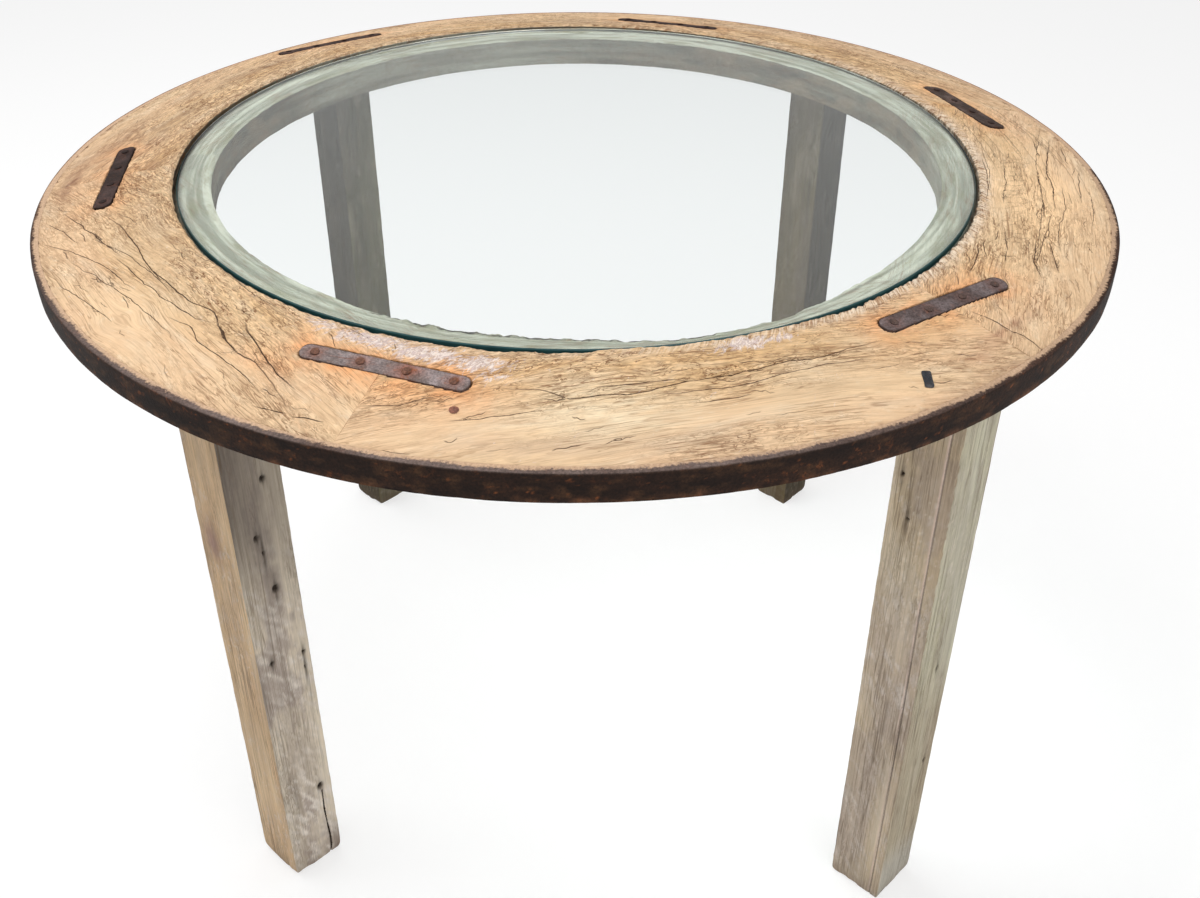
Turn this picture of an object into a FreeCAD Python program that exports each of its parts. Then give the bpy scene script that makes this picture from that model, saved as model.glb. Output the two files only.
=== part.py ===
"""Round dining table made from an old cart wheel.

Six wooden felloes stand in an iron tyre and fall away from the glass well to the tyre. Iron cleats
nailed across their joints, and hidden dowels, hold them together. A round pane lies on a ledge inside
the ring, and four square posts are tenoned into the flat underside. Sizes are in millimetres and angles
in degrees, +Z is up, and the origin is on the floor under the middle of the wheel.
"""
import FreeCAD, Part
import math
import os
import Sketcher
from FreeCAD import Placement, Rotation, Vector

FELLOES = 6
CLEAT_NAILS = 4

# Driving sizes
SIZES = {
    "rim_height": 750.0,
    "tyre_radius": 585.0,
    "tyre_thickness": 9.0,
    "tyre_height": 30.0,
    "tyre_edge_radius": 2.0,
    "shrink_gap": 0.1,
    "felloe_face": 138.9,
    "glass_thickness": 8.0,
    "glass_clearance": 2.0,
    "glass_recess": 5.0,
    "glass_arris": 1.0,
    "ledge_width": 39.0,
    "crown_rise": 27.0,
    "underside_drop": 24.0,
    "well_edge_wear": 3.0,
    "seam_gap": 0.5,
    "dowel_diameter": 18.0,
    "dowel_length": 80.0,
    "dowel_chamfer": 1.5,
    "dowel_clearance": 0.1,
    "cleat_length": 163.0,
    "cleat_width": 23.0,
    "cleat_thickness": 4.0,
    "cleat_corner_radius": 8.0,
    "cleat_proud": 0.3,
    "cleat_edge_room": 20.0,
    "cleat_clearance": 0.3,
    "nail_inset": 14.0,
    "nail_length": 18.0,
    "nail_diameter": 3.5,
    "nail_head_diameter": 9.0,
    "nail_head_height": 1.8,
    "nail_head_rim": 0.6,
    "nail_clearance": 0.1,
    "leg_width": 68.0,
    "rear_leg_width": 60.0,
    "leg_edge_wear": 2.5,
    "foot_edge_wear": 2.0,
    "tenon_width": 40.0,
    "tenon_cover": 7.0,
    "tenon_clearance": 0.2,
    "spike_width": 8.0,
    "spike_length": 22.0,
    "spike_head_height": 3.0,
    "spike_shank_length": 24.0,
    "spike_shank_width": 6.0,
    "spike_proud": 0.8,
    "spike_clearance": 0.2,
    "cutter_overrun": 10.0,
    "first_leg_turn": 45.0,
    "joint_1_turn": -46.0,
    "joint_2_turn": 18.0,
    "joint_3_turn": 75.0,
    "joint_4_turn": 129.0,
    "joint_5_turn": 185.0,
    "joint_6_turn": 250.0,
}

# Sizes that follow from the driving ones
FORMULAS = {
    "felloe_outer": "=tyre_radius - tyre_thickness - shrink_gap",
    "well_radius": "=felloe_outer - felloe_face",
    "glass_radius": "=well_radius - glass_clearance",
    "felloe_inner": "=well_radius - ledge_width",
    "felloe_middle": "=(felloe_inner + felloe_outer) / 2",
    "crown_height": "=rim_height + crown_rise",
    "well_depth": "=glass_thickness + glass_recess",
    "ledge_height": "=crown_height - well_depth",
    "underside_height": "=rim_height - underside_drop",
    "crown_slope": "=crown_rise / felloe_face",
    "seam_turn": "=seam_gap / felloe_middle * 180 / pi",
    "nail_reach": "=nail_length - cleat_thickness",
    "middle_height": "=rim_height + crown_slope * (felloe_outer - felloe_middle)",
    "tenon_top": "=middle_height - cleat_thickness + cleat_proud - nail_reach - tenon_cover",
    "tenon_height": "=tenon_top - underside_height",
    "mortise_width": "=tenon_width + 2 * tenon_clearance",
    "cleat_lane_edge": "=cleat_edge_room + cleat_width / 2",
    "dowel_circle": "=(felloe_inner + felloe_middle - mortise_width / 2) / 2",
    "dowel_level": "=(ledge_height + underside_height) / 2",
}

# For each felloe joint: the cleat's place as a share of the lane that keeps it clear of the well and of
# the tyre, its length as a share of the longest one, and the degrees by which it lies off the tangent
CLEAT_PLACE_SHARES = (0.19, 0.35, 0.32, 0.93, 0.51, 0.19)
CLEAT_LENGTH_SHARES = (1.00, 0.88, 0.89, 0.90, 1.00, 0.98)
CLEAT_SKEWS = (-9.0, 3.0, -8.0, -11.0, 0.5, -1.5)

# The loose nail and the flat spike near the front: angle about the wheel and share of the sloping face
RIM_NAIL_TURN, RIM_NAIL_PLACE_SHARE = -101.3, 0.60
SPIKE_TURN, SPIKE_SKEW, SPIKE_PLACE_SHARE = -57.1, -32.5, 0.79

# For each post, counted round from the back right: its width, its place as a share of the way from the
# ledge's inner edge to the tyre, and the degrees by which it stands off its even place
LEG_NAMES = ("leg_back_right", "leg_back_left", "leg_front_left", "leg_front_right")
LEG_WIDTHS = ("rear_leg_width", "rear_leg_width", "leg_width", "leg_width")
LEG_PLACE_SHARES = (0.71, 0.71, 0.452, 0.649)
LEG_STRAYS = (4.6, -5.8, -1.1, -1.9)

doc = FreeCAD.newDocument("WagonWheelTable")
sheet = doc.addObject("Spreadsheet::Sheet", "Sizes")
parts = []


def fill_sheet():
    """Write every size in a cell of its own, with its name as the alias."""
    for row, (alias, value) in enumerate({**SIZES, **FORMULAS}.items(), start=1):
        sheet.set(f"A{row}", alias)
        sheet.set(f"B{row}", str(value))
        sheet.setAlias(f"B{row}", alias)
    doc.recompute()


def size(alias):
    """The value of one cell."""
    return float(sheet.get(alias))


def cell(formula):
    """A formula on size names, with each name led by the sheet's."""
    names = sorted({**SIZES, **FORMULAS}, key=len, reverse=True)
    words = formula.replace("(", "( ").replace(")", " )").split()
    return " ".join("Sizes." + word if word in names else word for word in words)


def bind(item, **formulas):
    """Bind properties of a document object to formulas on the sheet."""
    for name, formula in formulas.items():
        item.setExpression(name, cell(formula))
    return item


def add_part(item, label):
    """Take an object into the list of finished sub-parts."""
    item.Label = label
    parts.append(item)
    return item


def new_body(label):
    body = doc.addObject("PartDesign::Body", label)
    body.Label = label
    return body


def new_sketch(body, name, role="XY_Plane", offset=None):
    """A sketch on one of the body's own origin planes."""
    sketch = body.newObject("Sketcher::SketchObject", name)
    plane = next(item for item in body.Origin.OriginFeatures if item.Role == role)
    sketch.AttachmentSupport = [(plane, "")]
    sketch.MapMode = "FlatFace"
    if offset:
        sketch.setExpression("AttachmentOffset.Base.z", cell(offset))
    return sketch


def bind_point(sketch, geometry, end, across, up):
    """Hold a point of a sketch at two formulas, measured from the sketch's origin."""
    for kind, formula in (("DistanceX", across), ("DistanceY", up)):
        if formula:
            start = sketch.evalExpression(cell(formula))
            index = sketch.addConstraint(Sketcher.Constraint(kind, -1, 1, geometry, end, float(start)))
            sketch.setExpression(f"Constraints[{index}]", cell(formula))


def closed_outline(sketch, corners):
    """A closed outline through corners, each a pair of formulas, where "" lies on the axis."""
    points = [
        Vector(*(float(sketch.evalExpression(cell(formula))) if formula else 0 for formula in corner), 0)
        for corner in corners
    ]
    count = len(points)
    for i in range(count):
        sketch.addGeometry(Part.LineSegment(points[i], points[(i + 1) % count]), False)
    for i in range(count):
        sketch.addConstraint(Sketcher.Constraint("Coincident", i, 2, (i + 1) % count, 1))
    for i, (across, up) in enumerate(corners):
        bind_point(sketch, i, 1, across, up)
        if not across:
            sketch.addConstraint(Sketcher.Constraint("PointOnObject", i, 1, -2))
        if not up:
            sketch.addConstraint(Sketcher.Constraint("PointOnObject", i, 1, -1))


def centred_rectangle(sketch, length, width):
    """A rectangle about the sketch's origin, its two sides given as formulas."""
    half_length, half_width = f"( {length} ) / 2", f"( {width} ) / 2"
    minus_length, minus_width = f"0 - ( {length} ) / 2", f"0 - ( {width} ) / 2"
    closed_outline(
        sketch,
        (
            (minus_length, minus_width),
            (half_length, minus_width),
            (half_length, half_width),
            (minus_length, half_width),
        ),
    )


def add_circle(sketch, radius):
    """A circle about the sketch's origin, its radius given as a formula."""
    start = float(sketch.evalExpression(cell(radius)))
    circle = sketch.addGeometry(Part.Circle(Vector(0, 0, 0), Vector(0, 0, 1), start), False)
    sketch.addConstraint(Sketcher.Constraint("Coincident", circle, 3, -1, 1))
    index = sketch.addConstraint(Sketcher.Constraint("Radius", circle, start))
    sketch.setExpression(f"Constraints[{index}]", cell(radius))


def pad(body, sketch, length, name="Pad"):
    feature = body.newObject("PartDesign::Pad", name)
    feature.Profile = sketch
    bind(feature, Length=length)
    return feature


def revolve(body, sketch, angle=None, name="Revolution"):
    """Turn an upright sketch about the vertical axis, half of the angle to each side, or right round."""
    feature = body.newObject("PartDesign::Revolution", name)
    feature.Profile = sketch
    feature.ReferenceAxis = (sketch, ["V_Axis"])
    feature.Midplane = True
    if angle:
        bind(feature, Angle=angle)
    return feature


def edges_where(feature, test):
    """Names of the edges of a feature whose middle point and direction pass a test."""
    found = []
    for number, edge in enumerate(feature.Shape.Edges, start=1):
        middle = edge.valueAt((edge.FirstParameter + edge.LastParameter) / 2)
        direction = edge.tangentAt(edge.FirstParameter)
        if test(middle, direction):
            found.append(f"Edge{number}")
    return found


def dress(body, base, kind, edges, amount, name):
    """A fillet or a chamfer on edges of the base feature."""
    feature = body.newObject(f"PartDesign::{kind}", name)
    feature.Base = (base, edges)
    bind(feature, **{"Radius" if kind == "Fillet" else "Size": amount})
    return feature


def upright(middle, direction):
    return abs(direction.z) > abs(direction.x) + abs(direction.y)


def joint_name(number):
    """The cell with the angle of a felloe joint, which counts on from the last to the first."""
    return f"joint_{(number - 1) % FELLOES + 1}_turn"


def on_slope(angle, place, skew, sink):
    """Placement on the felloes' sloping face, its X across the slope and its Z square to the face.

    The place is a distance from the well towards the tyre, and sink is a depth below the face.
    """
    radius = size("well_radius") + place
    height = size("rim_height") + size("crown_slope") * (size("felloe_outer") - radius)
    fall = math.degrees(math.atan(size("crown_slope")))
    turned = Rotation(Vector(0, 0, 1), angle)
    tilt = turned * Rotation(Vector(0, 1, 0), fall)
    point = turned.multVec(Vector(radius, 0, height))
    lowered = point - tilt.multVec(Vector(0, 0, sink))
    quarter_turn = 90
    return Placement(lowered, tilt * Rotation(Vector(0, 0, 1), quarter_turn + skew))


def make_tyre():
    """Flat iron hoop shrunk round the felloes, its outer edges worn round."""
    body = new_body("iron_tyre")
    sketch = new_sketch(body, "TyreSection", offset="rim_height - tyre_height")
    add_circle(sketch, "tyre_radius")
    add_circle(sketch, "tyre_radius - tyre_thickness")
    hoop = pad(body, sketch, "tyre_height")
    doc.recompute()
    middle_radius = size("tyre_radius") - size("tyre_thickness") / 2
    outer = edges_where(
        hoop, lambda middle, direction: math.hypot(middle.x, middle.y) > middle_radius and abs(direction.z) == 0
    )
    body.Tip = dress(body, hoop, "Fillet", outer, "tyre_edge_radius", "WornEdges")
    add_part(body, "iron_tyre")


def make_glass():
    """Loose round pane, its edges ground to a small arris."""
    body = new_body("glass_top")
    sketch = new_sketch(body, "Pane", offset="ledge_height")
    add_circle(sketch, "glass_radius")
    pane = pad(body, sketch, "glass_thickness")
    doc.recompute()
    rims = edges_where(pane, lambda middle, direction: abs(direction.z) == 0)
    body.Tip = dress(body, pane, "Chamfer", rims, "glass_arris", "Arris")
    add_part(body, "glass_top")


def make_rounded_bar(label, length, width, height, corner):
    """Flat bar with its ends rounded off at the corners, lying on its own XY plane."""
    body = new_body(label)
    sketch = new_sketch(body, "Outline")
    centred_rectangle(sketch, length, width)
    bar = pad(body, sketch, height)
    doc.recompute()
    body.Tip = dress(body, bar, "Fillet", edges_where(bar, upright), corner, "RoundedCorners")
    return body


def nail_pitch(length_share):
    """Formula for the step between a cleat's nails."""
    return f"( {length_share} * cleat_length - 2 * nail_inset ) / {CLEAT_NAILS - 1}"


def row_along(body, feature, length_share):
    """Repeat a feature at each of a cleat's nails, along the body's X axis."""
    row = body.newObject("PartDesign::LinearPattern", "NailRow")
    row.Originals = [feature]
    axis = next(item for item in body.Origin.OriginFeatures if item.Role == "X_Axis")
    row.Direction = (axis, [""])
    row.Occurrences = CLEAT_NAILS
    bind(row, Length=f"{nail_pitch(length_share)} * {CLEAT_NAILS - 1}")
    body.Tip = row
    return row


def nail_outline(sketch, start):
    """Half of a nail's section: shank below the sketch's axis, low peaked head above it."""
    lead = f"{start} + " if start else ""
    shank, head = lead + "nail_diameter / 2", lead + "nail_head_diameter / 2"
    closed_outline(
        sketch,
        (
            (start, "0 - nail_length"),
            (shank, "0 - nail_length + nail_diameter"),
            (shank, ""),
            (head, ""),
            (head, "nail_head_rim"),
            (shank, "nail_head_height"),
            (start, "nail_head_height"),
        ),
    )


def turned_nail(body, start):
    """Nail turned about an upright line at a place along the body's X axis."""
    sketch = new_sketch(body, "NailSection", "XZ_Plane")
    nail_outline(sketch, start)
    feature = body.newObject("PartDesign::Revolution", "Nail")
    feature.Profile = sketch
    sketch.recompute()
    feature.ReferenceAxis = (sketch, [f"Edge{len(sketch.Geometry)}"])
    return feature


def make_nail_row(label, length_share, placement):
    """The nails of one cleat, as one group of separate solids."""
    body = new_body(label)
    body.AllowCompound = True
    start = f"0 - {nail_pitch(length_share)} * {CLEAT_NAILS - 1} / 2"
    row_along(body, turned_nail(body, start), length_share)
    body.Placement = placement
    add_part(body, label)


def make_cleat(number):
    """Iron strap let in across a felloe joint, with its nails. Returns the cutters of its seat."""
    share = CLEAT_LENGTH_SHARES[number - 1]
    length = f"{share} * cleat_length"
    angle, skew = size(joint_name(number)), CLEAT_SKEWS[number - 1]
    lane = size("felloe_face") - 2 * size("cleat_lane_edge")
    place = size("cleat_lane_edge") + CLEAT_PLACE_SHARES[number - 1] * lane
    inlay = size("cleat_thickness") - size("cleat_proud")
    seat = on_slope(angle, place, skew, inlay)
    top = on_slope(angle, place, skew, -size("cleat_proud"))

    strap = make_rounded_bar(f"cleat_{number}", length, "cleat_width", "cleat_thickness", "cleat_corner_radius")
    hole_sketch = new_sketch(strap, "NailHole")
    start = f"0 - {nail_pitch(share)} * {CLEAT_NAILS - 1} / 2"
    radius = "nail_diameter / 2 + nail_clearance"
    middle = float(hole_sketch.evalExpression(cell(start)))
    circle = Part.Circle(Vector(middle, 0, 0), Vector(0, 0, 1), float(hole_sketch.evalExpression(cell(radius))))
    hole_sketch.addGeometry(circle, False)
    hole_sketch.addConstraint(Sketcher.Constraint("PointOnObject", 0, 3, -1))
    across = hole_sketch.addConstraint(Sketcher.Constraint("DistanceX", -1, 1, 0, 3, middle))
    hole_sketch.setExpression(f"Constraints[{across}]", cell(start))
    wide = hole_sketch.addConstraint(Sketcher.Constraint("Radius", 0, circle.Radius))
    hole_sketch.setExpression(f"Constraints[{wide}]", cell(radius))
    hole = strap.newObject("PartDesign::Pocket", "NailHole")
    hole.Profile = hole_sketch
    hole.Reversed = True
    bind(hole, Length="cleat_thickness")
    row_along(strap, hole, share)
    strap.Placement = seat
    add_part(strap, f"cleat_{number}")

    make_nail_row(f"cleat_nails_{number}", share, top)

    cutters = [
        make_rounded_bar(
            f"cleat_seat_{number}",
            f"{length} + 2 * cleat_clearance",
            "cleat_width + 2 * cleat_clearance",
            "cleat_thickness + cutter_overrun",
            "cleat_corner_radius + cleat_clearance",
        )
    ]
    cutters[0].Placement = seat
    pitch = (share * size("cleat_length") - 2 * size("nail_inset")) / (CLEAT_NAILS - 1)
    for nail in range(CLEAT_NAILS):
        bore = doc.addObject("Part::Cylinder", f"nail_bore_{number}_{nail + 1}")
        bind(bore, Radius="nail_diameter / 2 + nail_clearance", Height="nail_reach + nail_clearance + cleat_thickness")
        along = (nail - (CLEAT_NAILS - 1) / 2) * pitch
        down = -size("nail_reach") - size("nail_clearance")
        bore.Placement = seat * Placement(Vector(along, 0, down), Rotation())
        cutters.append(bore)
    return cutters


def make_dowel(number):
    """Wooden dowel across a felloe joint. Returns the cutter of its bore."""
    angle = size(joint_name(number))
    turned = Rotation(Vector(0, 0, 1), angle)
    along_tangent = turned * Rotation(Vector(1, 0, 0), -90)
    middle = turned.multVec(Vector(size("dowel_circle"), 0, size("dowel_level")))

    body = new_body(f"felloe_dowel_{number}")
    peg = body.newObject("PartDesign::AdditiveCylinder", "Peg")
    bind(peg, Radius="dowel_diameter / 2", Height="dowel_length")
    doc.recompute()
    ends = edges_where(peg, lambda point, direction: abs(direction.z) == 0)
    body.Tip = dress(body, peg, "Chamfer", ends, "dowel_chamfer", "Ends")
    half = along_tangent.multVec(Vector(0, 0, size("dowel_length") / 2))
    body.Placement = Placement(middle - half, along_tangent)
    add_part(body, f"felloe_dowel_{number}")

    bore = doc.addObject("Part::Cylinder", f"dowel_bore_{number}")
    bind(bore, Radius="dowel_diameter / 2 + dowel_clearance", Height="dowel_length + 2 * dowel_clearance")
    start = along_tangent.multVec(Vector(0, 0, size("dowel_length") / 2 + size("dowel_clearance")))
    bore.Placement = Placement(middle - start, along_tangent)
    return [bore]


def make_leg(index):
    """Square post with a stub tenon. Its faces are turned evenly, though it stands off its even place,
    and the further out it stands, the lower its tenon ends below the sloping face. Returns its mortise."""
    label, width, share = LEG_NAMES[index], LEG_WIDTHS[index], LEG_PLACE_SHARES[index]
    place = f"( felloe_inner + {share} * ( felloe_outer - felloe_inner ) )"
    tenon_height = f"tenon_height - crown_slope * ( {place} - felloe_middle )"
    body = new_body(label)
    sketch = new_sketch(body, "Section")
    centred_rectangle(sketch, width, width)
    post = pad(body, sketch, "underside_height", "Post")
    doc.recompute()
    worn = dress(body, post, "Chamfer", edges_where(post, upright), "leg_edge_wear", "WornEdges")
    doc.recompute()
    foot = edges_where(worn, lambda middle, direction: middle.z == 0)
    foot_edges = dress(body, worn, "Chamfer", foot, "foot_edge_wear", "WornFoot")
    tenon_sketch = new_sketch(body, "TenonSection", offset="underside_height")
    centred_rectangle(tenon_sketch, "tenon_width", "tenon_width")
    body.Tip = pad(body, tenon_sketch, tenon_height, "Tenon")
    even_turn = size("first_leg_turn") + index * 360 / len(LEG_NAMES)
    turned = Rotation(Vector(0, 0, 1), even_turn)
    outward = Rotation(Vector(0, 0, 1), even_turn + LEG_STRAYS[index])
    radius = size("felloe_inner") + share * (size("felloe_outer") - size("felloe_inner"))
    middle = outward.multVec(Vector(radius, 0, 0))
    body.Placement = Placement(middle, turned)
    add_part(body, label)

    mortise = doc.addObject("Part::Box", f"mortise_{label}")
    bind(
        mortise,
        Length="mortise_width",
        Width="mortise_width",
        Height=f"{tenon_height} + tenon_clearance + cutter_overrun",
    )
    half = size("mortise_width") / 2
    low = size("underside_height") - size("cutter_overrun")
    corner = turned.multVec(Vector(-half, -half, low))
    mortise.Placement = Placement(middle + corner, turned)
    return [mortise]


def make_rim_nail():
    """Round-headed nail driven into the front felloe. Returns the cutter of its hole."""
    place = on_slope(RIM_NAIL_TURN, RIM_NAIL_PLACE_SHARE * size("felloe_face"), 0, 0)
    body = new_body("rim_nail")
    sketch = new_sketch(body, "NailSection", "XZ_Plane")
    nail_outline(sketch, "")
    body.Tip = revolve(body, sketch, name="Nail")
    body.Placement = place
    add_part(body, "rim_nail")
    bore = doc.addObject("Part::Cylinder", "rim_nail_bore")
    bind(bore, Radius="nail_diameter / 2 + nail_clearance", Height="nail_length + nail_clearance + cutter_overrun")
    low = -size("nail_length") - size("nail_clearance")
    bore.Placement = place * Placement(Vector(0, 0, low), Rotation())
    return [bore]


def make_spike():
    """Flat-headed forged spike near the front right edge. Returns the cutters of its hole."""
    sink = size("spike_head_height") - size("spike_proud")
    head_place = on_slope(SPIKE_TURN, SPIKE_PLACE_SHARE * size("felloe_face"), SPIKE_SKEW, sink)
    body = new_body("forged_spike")
    head_sketch = new_sketch(body, "Head")
    centred_rectangle(head_sketch, "spike_width", "spike_length")
    pad(body, head_sketch, "spike_head_height", "HeadPad")
    shank_sketch = new_sketch(body, "Shank", offset="0 - spike_shank_length")
    centred_rectangle(shank_sketch, "spike_shank_width", "spike_shank_width")
    body.Tip = pad(body, shank_sketch, "spike_shank_length", "ShankPad")
    body.Placement = head_place
    add_part(body, "forged_spike")

    cutters = []
    for name, width, length, low, height in (
        ("spike_head_seat", "spike_width", "spike_length", 0, "spike_head_height + cutter_overrun"),
        ("spike_hole", "spike_shank_width", "spike_shank_width", -size("spike_shank_length") - size("spike_clearance"),
         "spike_shank_length + 2 * spike_clearance"),
    ):
        box = doc.addObject("Part::Box", name)
        bind(
            box,
            Length=f"{width} + 2 * spike_clearance",
            Width=f"{length} + 2 * spike_clearance",
            Height=height,
        )
        doc.recompute()
        shift = Vector(-box.Length.Value / 2, -box.Width.Value / 2, low)
        box.Placement = head_place * Placement(shift, Rotation())
        cutters.append(box)
    return cutters


def make_felloe(number, joinery):
    """Sector of the ring: sloping top, ledge for the pane, flat underside, and its joinery cut out."""
    blank = new_body(f"felloe_{number}_blank")
    section = new_sketch(blank, "Section", "XZ_Plane")
    closed_outline(
        section,
        (
            ("felloe_inner", "underside_height"),
            ("felloe_outer", "underside_height"),
            ("felloe_outer", "rim_height"),
            ("well_radius + well_edge_wear", "crown_height - crown_slope * well_edge_wear"),
            ("well_radius", "crown_height - well_edge_wear"),
            ("well_radius", "ledge_height"),
            ("felloe_inner", "ledge_height"),
        ),
    )
    lap = " + 360" if number == FELLOES else ""
    start, end = joint_name(number), joint_name(number + 1)
    blank.Tip = revolve(blank, section, f"{end} - {start}{lap} - seam_turn")
    full_turn = 360 if number == FELLOES else 0
    middle_angle = (size(start) + size(end) + full_turn) / 2
    blank.Placement = Placement(Vector(0, 0, 0), Rotation(Vector(0, 0, 1), middle_angle))
    felloe = doc.addObject("Part::Cut", f"felloe_{number}")
    felloe.Base = blank
    felloe.Tool = joinery
    add_part(felloe, f"felloe_{number}")


def build():
    fill_sheet()
    make_tyre()
    make_glass()
    cutters = []
    for number in range(1, FELLOES + 1):
        cutters += make_cleat(number)
        cutters += make_dowel(number)
    for index in range(len(LEG_NAMES)):
        cutters += make_leg(index)
    cutters += make_rim_nail()
    cutters += make_spike()
    joinery = doc.addObject("Part::MultiFuse", "Joinery")
    joinery.Shapes = cutters
    for number in range(1, FELLOES + 1):
        make_felloe(number, joinery)
    doc.recompute()


def check_document():
    """Stop if a feature failed or a sub-part is not a sound solid."""
    failed = [item.Name for item in doc.Objects if {"Invalid", "Error"} & set(item.State)]
    if failed:
        raise RuntimeError("failed features: " + ", ".join(failed))
    for item in parts:
        if item.Shape.isNull() or not item.Shape.isValid() or not item.Shape.Solids:
            raise RuntimeError("unsound sub-part: " + item.Label)


def write_parts():
    os.makedirs("parts", exist_ok=True)
    for item in parts:
        item.Shape.exportStep(os.path.join("parts", item.Label + ".step"))
        box = item.Shape.BoundBox
        print(f"{item.Label}: {len(item.Shape.Solids)} solid(s), {item.Shape.Volume:.0f} mm3, "
              f"z {box.ZMin:.1f} to {box.ZMax:.1f}")


build()
check_document()
write_parts()
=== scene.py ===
"""Looks of a round table made from an old cart wheel: worn felloes in a rusty tyre, iron cleats, a loose
glass pane and four reclaimed posts. Sizes are in metres, +Z is up, and the origin is on the floor under
the middle of the wheel. Angles run anticlockwise from +X as seen from above, and the front is at -Y.
"""
import itertools
import math

import bpy
import numpy as np
from mathutils import Matrix, Vector


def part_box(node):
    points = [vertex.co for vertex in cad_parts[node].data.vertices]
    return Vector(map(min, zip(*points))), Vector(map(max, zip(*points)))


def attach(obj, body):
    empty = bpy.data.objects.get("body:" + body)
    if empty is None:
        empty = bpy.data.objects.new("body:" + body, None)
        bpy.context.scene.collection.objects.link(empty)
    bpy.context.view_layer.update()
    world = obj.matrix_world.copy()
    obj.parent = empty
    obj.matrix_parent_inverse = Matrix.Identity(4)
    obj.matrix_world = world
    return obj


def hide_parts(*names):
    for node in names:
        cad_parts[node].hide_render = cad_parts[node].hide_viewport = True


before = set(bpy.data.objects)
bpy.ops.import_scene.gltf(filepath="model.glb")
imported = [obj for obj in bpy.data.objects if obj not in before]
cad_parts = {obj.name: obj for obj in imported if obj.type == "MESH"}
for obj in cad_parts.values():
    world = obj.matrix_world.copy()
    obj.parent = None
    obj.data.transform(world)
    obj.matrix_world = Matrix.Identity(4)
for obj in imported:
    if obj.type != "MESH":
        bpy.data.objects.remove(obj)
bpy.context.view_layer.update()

TABLE, PANE = "table", "pane"
FELLOES = range(1, 7)
NAILS_PER_CLEAT = 4
# Lengths that stand for none, and how far below a plate's top its points still count as top
TINY, TOP_SLACK = 1e-9, 1e-6

# The photograph's frame and camera
PHOTO_WIDTH, PHOTO_HEIGHT = 1200, 898
FOCAL_PIXELS = 1352
SENSOR_WIDTH = 36
CAMERA_PLACE = (0.0, -1.4327, 1.3631)
CAMERA_PAN, CAMERA_PITCH, CAMERA_ROLL = 1.06, 34.85, 0.25


def extent(node, axis):
    """Lowest and highest value of a CAD node along one axis."""
    low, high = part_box(node)
    return low[axis], high[axis]


# Sizes of the wheel, from the frame
TYRE_RADIUS = extent("iron_tyre", 0)[1]
TYRE_BOTTOM, TYRE_TOP = extent("iron_tyre", 2)
GLASS_RADIUS = extent("glass_top", 0)[1]
GLASS_BOTTOM, GLASS_TOP = extent("glass_top", 2)
UNDERSIDE, CROWN = extent("felloe_1", 2)
TYRE_THICKNESS = 0.009
GLASS_CLEARANCE = 0.002
LEDGE_WIDTH = 0.039
EDGE_WEAR = 0.003
SHARP_TURN = math.radians(52)
SHRINK_GAP = 0.0001
WELL_RADIUS = GLASS_RADIUS + GLASS_CLEARANCE
WOOD_INNER = WELL_RADIUS - LEDGE_WIDTH
WOOD_OUTER = TYRE_RADIUS - TYRE_THICKNESS - SHRINK_GAP
CROWN_RADIUS = WELL_RADIUS + EDGE_WEAR
SLOPE = (CROWN - TYRE_TOP) / (WOOD_OUTER - CROWN_RADIUS)


def node_points(node):
    """The points of a CAD node."""
    return np.array([vertex.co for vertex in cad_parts[node].data.vertices])


def colour(red, green, blue):
    """A linear colour from the usual 0 to 255 values."""
    parts = np.array((red, green, blue)) / 255
    return np.where(parts <= 0.04045, parts / 12.92, ((parts + 0.055) / 1.055) ** 2.4)


def shader_colour(red, green, blue):
    return (*colour(red, green, blue), 1.0)


def smooth_step(values, start, end):
    """0 at start, 1 at end and a soft bend between them."""
    share = np.clip((values - start) / (end - start), 0, 1)
    return share * share * (3 - 2 * share)


def hashed(cells, seed):
    """A steady number from 0 to 1 for each whole-numbered cell."""
    bits = cells.astype(np.int64).astype(np.uint32)
    mixed = bits[:, 0] * np.uint32(374761393) + bits[:, 1] * np.uint32(668265263)
    mixed += bits[:, 2] * np.uint32(2246822519) + np.uint32(seed * 3266489917 % 2**32)
    mixed = (mixed ^ (mixed >> np.uint32(15))) * np.uint32(2654435761)
    mixed = (mixed ^ (mixed >> np.uint32(13))) * np.uint32(1274126177)
    return (mixed ^ (mixed >> np.uint32(16))) / 2**32


def plain_noise(points, seed):
    """Soft lumps from -1 to 1, one to each unit cell."""
    cells = np.floor(points)
    share = points - cells
    blend = share * share * (3 - 2 * share)
    total = np.zeros(len(points))
    for corner in itertools.product((0, 1), repeat=3):
        weight = np.prod(np.where(corner, blend, 1 - blend), axis=1)
        total += weight * hashed(cells + corner, seed)
    return 2 * total - 1


def lumps(points, sizes, seed, layers=3):
    """Layered noise from about -1 to 1, its largest lumps of the given size, or sizes along each axis."""
    total, strength, reach = np.zeros(len(points)), 1.0, 0.0
    scaled = points / np.array(sizes)
    for layer in range(layers):
        total += strength * plain_noise(scaled * 2**layer + 17.3 * layer, seed + layer)
        reach += strength
        strength /= 2
    return total / reach


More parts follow.
